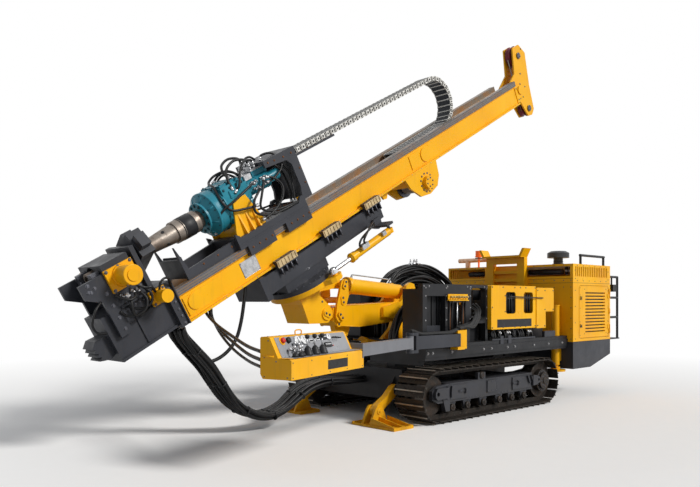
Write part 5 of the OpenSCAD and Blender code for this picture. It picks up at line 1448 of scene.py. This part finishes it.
for x, z in ((-75, 1400), (-380, 1340), (-380, 1560), (-1630, 1360), (-1630, 1640), (-1200, 1640),
             (-1200, 1130), (-1400, 1360),
             (-1400, 1640), (-1390, 1120)):
    cover_screws.bolt((x, 1112 if x < -1180 else 1100, z), (0, 1, 0), 12)
cover_screws.piece("valve_cover_screws", "chassis", blade_steel, "bare_steel")
cover_dark.block(-1120, -370, 1094, 1099, 1520, 1532)
cover_dark.tube([(-1320, 1128, 1530), (-600, 1124, 1545), (-420, 1120, 1545)], 8, 8)
cover_dark.block(-1050, -190, 1100, 1101.6, 1125, 1235)
for x in (-600, -540, -470, -1060, -990, -920):
    cover_dark.tube([(x, 1052, 1330), (x, 1052, 1580)], 16, 10)
cover_dark.piece("valve_cover_black_strip_blank", "chassis", black_plastic)
levers = Bench()
for k in range(9):
    x = -1100 + 116 * k
    levers.tube(smooth_path([(x, 1050, 1080), (x, 1080, 1030), (x + 10, 1090, 990), (x + 6, 1095, 970)], 10), 9, 8)
    levers.tube([(x, 930, 1080), (x, 1060, 1080)], 17, 6)
levers.piece("valve_bank_hoses", "chassis", hose_rubber, "hose_rubber")
ports = Bench()
for x in (-1010, -960, -480, -430, -250):
    ports.tube([(x, 1080, 1060), (x, 1112, 1052)], 17, 6)
    ports.tube([(x, 1110, 1052), (x, 1122, 1040)], 10, 8)
ports.piece("valve_bank_fittings", "chassis", silver, "bare_steel")

# %% [markdown]
# Then the hoses again, since they are everywhere on such a rig. Sixteen run from the
# opening in the deck frame down to the console's arm. A thick bunch makes an arch behind
# the boom. They are drawn as bundles of single hoses that wander a little.

# %% Deck hoses
arch = Bench()
for y, r in ((330, 440), (400, 510), (470, 580)):
    line = [(620 + r * math.cos(math.pi * k / 24), y, 950 + r * math.sin(math.pi * k / 24)) for k in range(25)]
    bundle(arch, line, 66, 7, 18.5, turns=0.5, seed=int(y), wander=0.2, steps=44)
arch_piece = arch.piece("deck_hose_arch", "chassis", hose_rubber, "hose_rubber")
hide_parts("deck_hoses")
arch_fit = Bench()
for y, r in ((330, 440), (400, 510), (470, 580)):
    for k in range(3):
        a = math.radians(82 + 9 * k)
        c, d = math.cos(a), math.sin(a)
        arch_fit.tube([(620 + (r + 56) * c, y, 950 + (r + 56) * d),
                       (620 + (r + 104) * c, y, 950 + (r + 104) * d)], 15, 6)
        arch_fit.tube([(620 + (r + 74) * c, y - 30, 950 + (r + 74) * d),
                       (620 + (r + 74) * c, y + 30, 950 + (r + 74) * d)], 15, 6)
arch_fit.piece("deck_hose_fittings", "chassis", silver, "bare_steel")

console_hoses = Bench()
rng = np.random.default_rng(5)
for k in range(16):
    u, v = rng.uniform(-1, 1), rng.uniform(-1, 1)
    start = (60 + 190 * (u + 1) / 2, 935, 1320 + 130 * v)
    line = [start, (190 + 60 * u, 1052, 1290 + 60 * v), (420 + 40 * u, 1120 + 25 * v, 1180 + 25 * u),
            (650 + 30 * u, 1150 + 22 * v, 1150 + 10 * (k % 3)),
            (800 + 8 * u, 1180 + 26 * v, 1136 + 14 * abs(u))]
    console_hoses.tube(smooth_path(line, 34), 14.5, 9)
console_hoses.piece("console_hoses", "chassis", hose_rubber, "hose_rubber")
link_hoses = Bench()
for k in range(9):
    a = 2 * math.pi * k / 9
    y, z = 1180 + 25 * math.cos(a), 1106 + 14 * math.sin(a)
    link_hoses.tube(smooth_path([(800, y, z + 22), (980, y + 5 * math.sin(k), z - 8),
                                 (1250, y - 6 * math.sin(k), z - 10),
                                 (1500, y, z - 10), (1640, y, z + 26), (1700, y, z + 30)], 30), 11.5, 8)
link_hoses.piece("console_link_hoses", "console_link", hose_rubber, "hose_rubber")

# %% [markdown]
# The mast's upper end carries the crown with its two rope sheaves, a short bright rope
# between them, and pins held by keepers. The winch beneath the mast has a bolt circle and
# its drum is wound with rope, lay by lay.

# %% Crown, rope and winch
crown_bolts, rope = Bench(on_mast), Bench(on_mast)
for side in (-1, 1):
    for s, w in ((-5950, 1130), (-5850, 260)):
        crown_bolts.disc((s, side * 105, w), (0, side, 0), 52, 10, 20)
        for k in range(4):
            a = 2 * math.pi * (k + 0.5) / 4
            crown_bolts.bolt((s + 32 * math.cos(a), side * 115, w + 32 * math.sin(a)), (0, side, 0), 10, False)
    for s, w in ((-5780, 700), (-5780, 560), (-5900, 620), (-5870, 850), (-6080, 1210)):
        crown_bolts.bolt((s, side * 95, w), (0, side, 0), 16)
    for s in (-5440, -5500, -5580):
        for w in (520, 700):
            crown_bolts.bolt((s, side * 212, w), (0, side, 0), 14)
crown_bolts.piece("crown_bolts", "mast", blade_steel, "bare_steel")
rope.tube([(-5778, 0, 1130), (-5758, 0, 260)], 11, 8)
rope.tube(smooth_path([(-6118, 0, 1130), (-6105, 0, 1010), (-6060, 0, 700), (-5990, 0, 420), (-5968, 0, 262)],
                      20), 11, 8)
rope.piece("winch_rope", "mast", pipe_steel, "pipe_steel")
WINCH_S, WINCH_W, ROPE_RING = -2560, 250, 112
winch_bolts, lays = Bench(on_mast), Bench(on_mast)
for side, y in ((1, 240), (-1, -240)):
    for k in range(12):
        a = 2 * math.pi * k / 12
        winch_bolts.bolt((WINCH_S + 130 * math.cos(a), y, WINCH_W + 130 * math.sin(a)), (0, side, 0), 16)
for k in range(6):
    a = 2 * math.pi * k / 6
    winch_bolts.bolt((WINCH_S + 60 * math.cos(a), 300, WINCH_W + 60 * math.sin(a)), (0, 1, 0), 14)
winch_bolts.piece("winch_bolts", "mast", blade_steel, "bare_steel")
ROPE_STEPS, STEPS_A_TURN = 280, 20
spiral = []
for k in range(ROPE_STEPS + 1):
    a = 2 * math.pi * k / STEPS_A_TURN
    spiral.append((WINCH_S + ROPE_RING * math.cos(a), -165 + 330 * k / ROPE_STEPS,
                   WINCH_W + ROPE_RING * math.sin(a)))
lays.tube(spiral, 11.5, 6)
lays.piece("winch_rope_lays", "winch_drum", pipe_steel, "pipe_steel")
for name, s, w, r in (("upper", -5950, 1130, 170), ("lower", -5850, 260, 120)):
    sheave_trim = Bench(on_mast)
    for side in (-1, 1):
        sheave_trim.tube([(s, side * 24, w), (s, side * 40, w)], 44, 20)
        for k in range(6):
            a = 2 * math.pi * k / 6
            sheave_trim.tube([(s + (r * 0.66) * math.cos(a), side * 26, w + (r * 0.66) * math.sin(a)),
                              (s + (r * 0.66) * math.cos(a), side * 30, w + (r * 0.66) * math.sin(a))],
                             r * 0.16, 14)
    sheave_trim.piece(f"{name}_sheave_trim", f"{name}_sheave", black_plastic)

# %% [markdown]
# A thick bunch of hoses stands up in an arch beyond the boom, higher than the deck frame,
# with enough slack for the boom to rise. Plated couplings sit on its crest.

# %% Slack hoses behind the boom
slack, couplings = Bench(), Bench()
ARCH = [(480, 955), (475, 1300), (430, 1610), (280, 1840), (-20, 1965), (-380, 1990), (-730, 1900), (-990, 1740),
        (-1130, 1480), (-1160, 955)]
for number, (y,
             share) in enumerate(((-345, 1.0), (-345, 0.84), (-425, 0.93), (-425, 0.76), (-510, 1.0),
                                  (-510, 0.85))):
    line = [(-340 + (x + 340) * share, y, 955 + (z - 955) * share) for x, z in ARCH]
    bundle(slack, line, 62, 6, 19, turns=0.6, seed=20 + number, wander=0.24, steps=50)
for x, y in ((-120, -330), (-190, -330), (-150, -420), (-230, -400)):
    couplings.tube([(x, y, 2000), (x, y, 2085)], 15, 6)
    couplings.tube([(x, y, 2080), (x, y, 2115)], 10, 10)
    couplings.tube([(x - 55, y + 20, 2040), (x + 55, y + 20, 2040)], 16, 6)
slack.piece("slack_hose_arch", "chassis", hose_rubber, "hose_rubber")
couplings.piece("slack_hose_couplings", "chassis", silver, "bare_steel")

# %% [markdown]
# Four single hoses hang free from the mast: one in a deep loop from the cradle down to
# the big bundle, and three to the back of the console. Each is a tube of its own on a
# smooth curve. They ride on the chassis, so this script draws them for the rest pose
# only: they keep that shape, and come away from the mast and the console, when those
# move.

# %% Single hanging hoses
HANGING = {
    "loop_hose": (20,
                  [(3262, 120, 1694), (3268, 120, 1600), (3288, 120, 1430), (3321, 120, 1256), (3370, 118, 1100),
                       (3453, 112, 974), (3570, 95, 880), (3700, 75, 836), (3810, 55, 870)]),
    "console_hose_1": (16,
                       [(3795, 150, 1396), (3812, 210, 1345), (3880, 500, 1245), (3975, 900, 1153),
                        (4120, 1350, 1085),
                            (4262, 1760, 1060)]),
    "console_hose_2": (16,
                       [(3745, 150, 1424), (3775, 220, 1330), (3850, 500, 1200), (3951, 900, 1085),
                        (4100, 1340, 1010),
                            (4264, 1762, 990)]),
    "console_hose_3": (14,
                       [(3700, 110, 1450), (3745, 200, 1320), (3830, 480, 1160), (3940, 860, 1030),
                        (4085, 1310, 950),
                            (4264, 1762, 930)]),
}
for name, (radius, points) in HANGING.items():
    hanging = Bench()
    line = smooth_path(points, 36)
    hanging.tube(line, radius, 12)
    made = hanging.piece(name, "chassis", hose_rubber, "hose_rubber")

# %% [markdown]
# The light on the real rig is soft and comes from the console's side, so that side is
# bright and the drilling end is in shade. One wide sun does that, with an even pale sky
# that fills the shade. The levels are set so that a paint shows about as bright as its
# own number. What the camera, a mirror or glass sees of the sky is plain white.

# %% Sky and sun
def larger_of(tree, first, second):
    """A node that gives the larger of two numbers: here, this kind of ray or that one."""
    pick = tree.nodes.new("ShaderNodeMath")
    pick.operation = "MAXIMUM"
    tree.links.new(first, pick.inputs[0])
    tree.links.new(second, pick.inputs[1])
    return pick.outputs[0]


bpy.context.scene.view_settings.view_transform = "Standard"
SKY_LEVEL = 0.3
SUN_LEVEL = 2.7
SUN_WIDTH = math.radians(14)
SUN_HEADING = Vector((0.30, -0.76, -0.58))
world = bpy.data.worlds.new("pale_sky")
bpy.context.scene.world = world
world.use_nodes = True
sky_nodes, sky_links = world.node_tree.nodes, world.node_tree.links
sky_nodes.clear()
light_sky = sky_nodes.new("ShaderNodeBackground")
light_sky.inputs["Color"].default_value = (0.93, 0.96, 1.0, 1)
light_sky.inputs["Strength"].default_value = SKY_LEVEL
seen_sky = sky_nodes.new("ShaderNodeBackground")
seen_sky.inputs["Color"].default_value = (1, 1, 1, 1)
seen_sky.inputs["Strength"].default_value = 1.0
ray = sky_nodes.new("ShaderNodeLightPath")
seen_or_glossy = larger_of(world.node_tree, ray.outputs["Is Camera Ray"], ray.outputs["Is Glossy Ray"])
any_view = larger_of(world.node_tree, seen_or_glossy, ray.outputs["Is Transmission Ray"])
sky_mix = sky_nodes.new("ShaderNodeMixShader")
sky_links.new(any_view, sky_mix.inputs[0])
sky_links.new(light_sky.outputs[0], sky_mix.inputs[1])
sky_links.new(seen_sky.outputs[0], sky_mix.inputs[2])
sky_out = sky_nodes.new("ShaderNodeOutputWorld")
sky_links.new(sky_mix.outputs[0], sky_out.inputs["Surface"])
sun_data = bpy.data.lights.new("wide_sun", "SUN")
sun_data.energy = SUN_LEVEL
sun_data.angle = SUN_WIDTH
sun_data.color = (1.0, 0.975, 0.94)
sun = bpy.data.objects.new("wide_sun", sun_data)
bpy.context.scene.collection.objects.link(sun)
sun.rotation_euler = SUN_HEADING.to_track_quat("-Z", "Y").to_euler()
print("sky", SKY_LEVEL, "sun", SUN_LEVEL)

# %% [markdown]
# The floor is a plain pale disc. Near the rig it is a matt surface that takes the shadow,
# and further out it turns into plain white, so that it meets the sky without a line. The
# change depends only on the place on the floor. Light that bounces off the floor finds a
# darker grey, because a white floor would fill the shade under the rig.

# %% Floor
FLOOR_RADIUS, FLOOR_SIDES = 60, 64
MATT_UP_TO, WHITE_FROM = 3.5, 12.0
floor_mesh = bpy.data.meshes.new("studio_floor")
floor_corners = []
for i in range(FLOOR_SIDES):
    a = 2 * math.pi * i / FLOOR_SIDES
    floor_corners.append((FLOOR_RADIUS * math.cos(a), FLOOR_RADIUS * math.sin(a), 0.0))
floor_mesh.from_pydata(floor_corners, [], [list(range(FLOOR_SIDES))])
floor = bpy.data.objects.new("studio_floor", floor_mesh)
bpy.context.scene.collection.objects.link(floor)
floor_paint = bpy.data.materials.new("pale_floor")
floor_paint.use_nodes = True
nodes, links = floor_paint.node_tree.nodes, floor_paint.node_tree.links
nodes.clear()
matt = nodes.new("ShaderNodeBsdfDiffuse")
grain = nodes.new("ShaderNodeTexNoise")
grain.inputs["Scale"].default_value = 6
grain_tone = nodes.new("ShaderNodeValToRGB")
grain_tone.color_ramp.elements[0].color = (0.97, 0.97, 0.97, 1)
grain_tone.color_ramp.elements[1].color = (0.99, 0.99, 0.99, 1)
where = nodes.new("ShaderNodeNewGeometry")
links.new(where.outputs["Position"], grain.inputs["Vector"])
links.new(grain.outputs["Fac"], grain_tone.inputs["Fac"])
links.new(grain_tone.outputs["Color"], matt.inputs["Color"])
glow = nodes.new("ShaderNodeEmission")
glow.inputs["Color"].default_value = (1, 1, 1, 1)
glow.inputs["Strength"].default_value = 1.0
far = nodes.new("ShaderNodeVectorMath")
far.operation = "LENGTH"
links.new(where.outputs["Position"], far.inputs[0])
fade = nodes.new("ShaderNodeMapRange")
fade.inputs["From Min"].default_value = MATT_UP_TO
fade.inputs["From Max"].default_value = WHITE_FROM
links.new(far.outputs["Value"], fade.inputs["Value"])
floor_ray = nodes.new("ShaderNodeLightPath")
floor_seen = larger_of(floor_paint.node_tree, floor_ray.outputs["Is Camera Ray"],
                       floor_ray.outputs["Is Glossy Ray"])
white_part = nodes.new("ShaderNodeMath")
white_part.operation = "MULTIPLY"
links.new(fade.outputs["Result"], white_part.inputs[0])
links.new(floor_seen, white_part.inputs[1])
dim = nodes.new("ShaderNodeBsdfDiffuse")
dim.inputs["Color"].default_value = (0.5, 0.5, 0.5, 1)
seen_matt = nodes.new("ShaderNodeMixShader")
links.new(floor_seen, seen_matt.inputs[0])
links.new(dim.outputs[0], seen_matt.inputs[1])
links.new(matt.outputs[0], seen_matt.inputs[2])
floor_mix = nodes.new("ShaderNodeMixShader")
links.new(white_part.outputs[0], floor_mix.inputs[0])
links.new(seen_matt.outputs[0], floor_mix.inputs[1])
links.new(glow.outputs[0], floor_mix.inputs[2])
floor_out = nodes.new("ShaderNodeOutputMaterial")
links.new(floor_mix.outputs[0], floor_out.inputs["Surface"])
floor_mesh.materials.append(floor_paint)
print("floor laid")

# %% [markdown]
# Last, the pieces that were added are counted, with their triangles, and the counts are
# printed.

# %% Count the pieces
print("pieces:", len(made_sizes), "triangles added:", sum(made_sizes.values()), "largest:",
      max(made_sizes.values()))
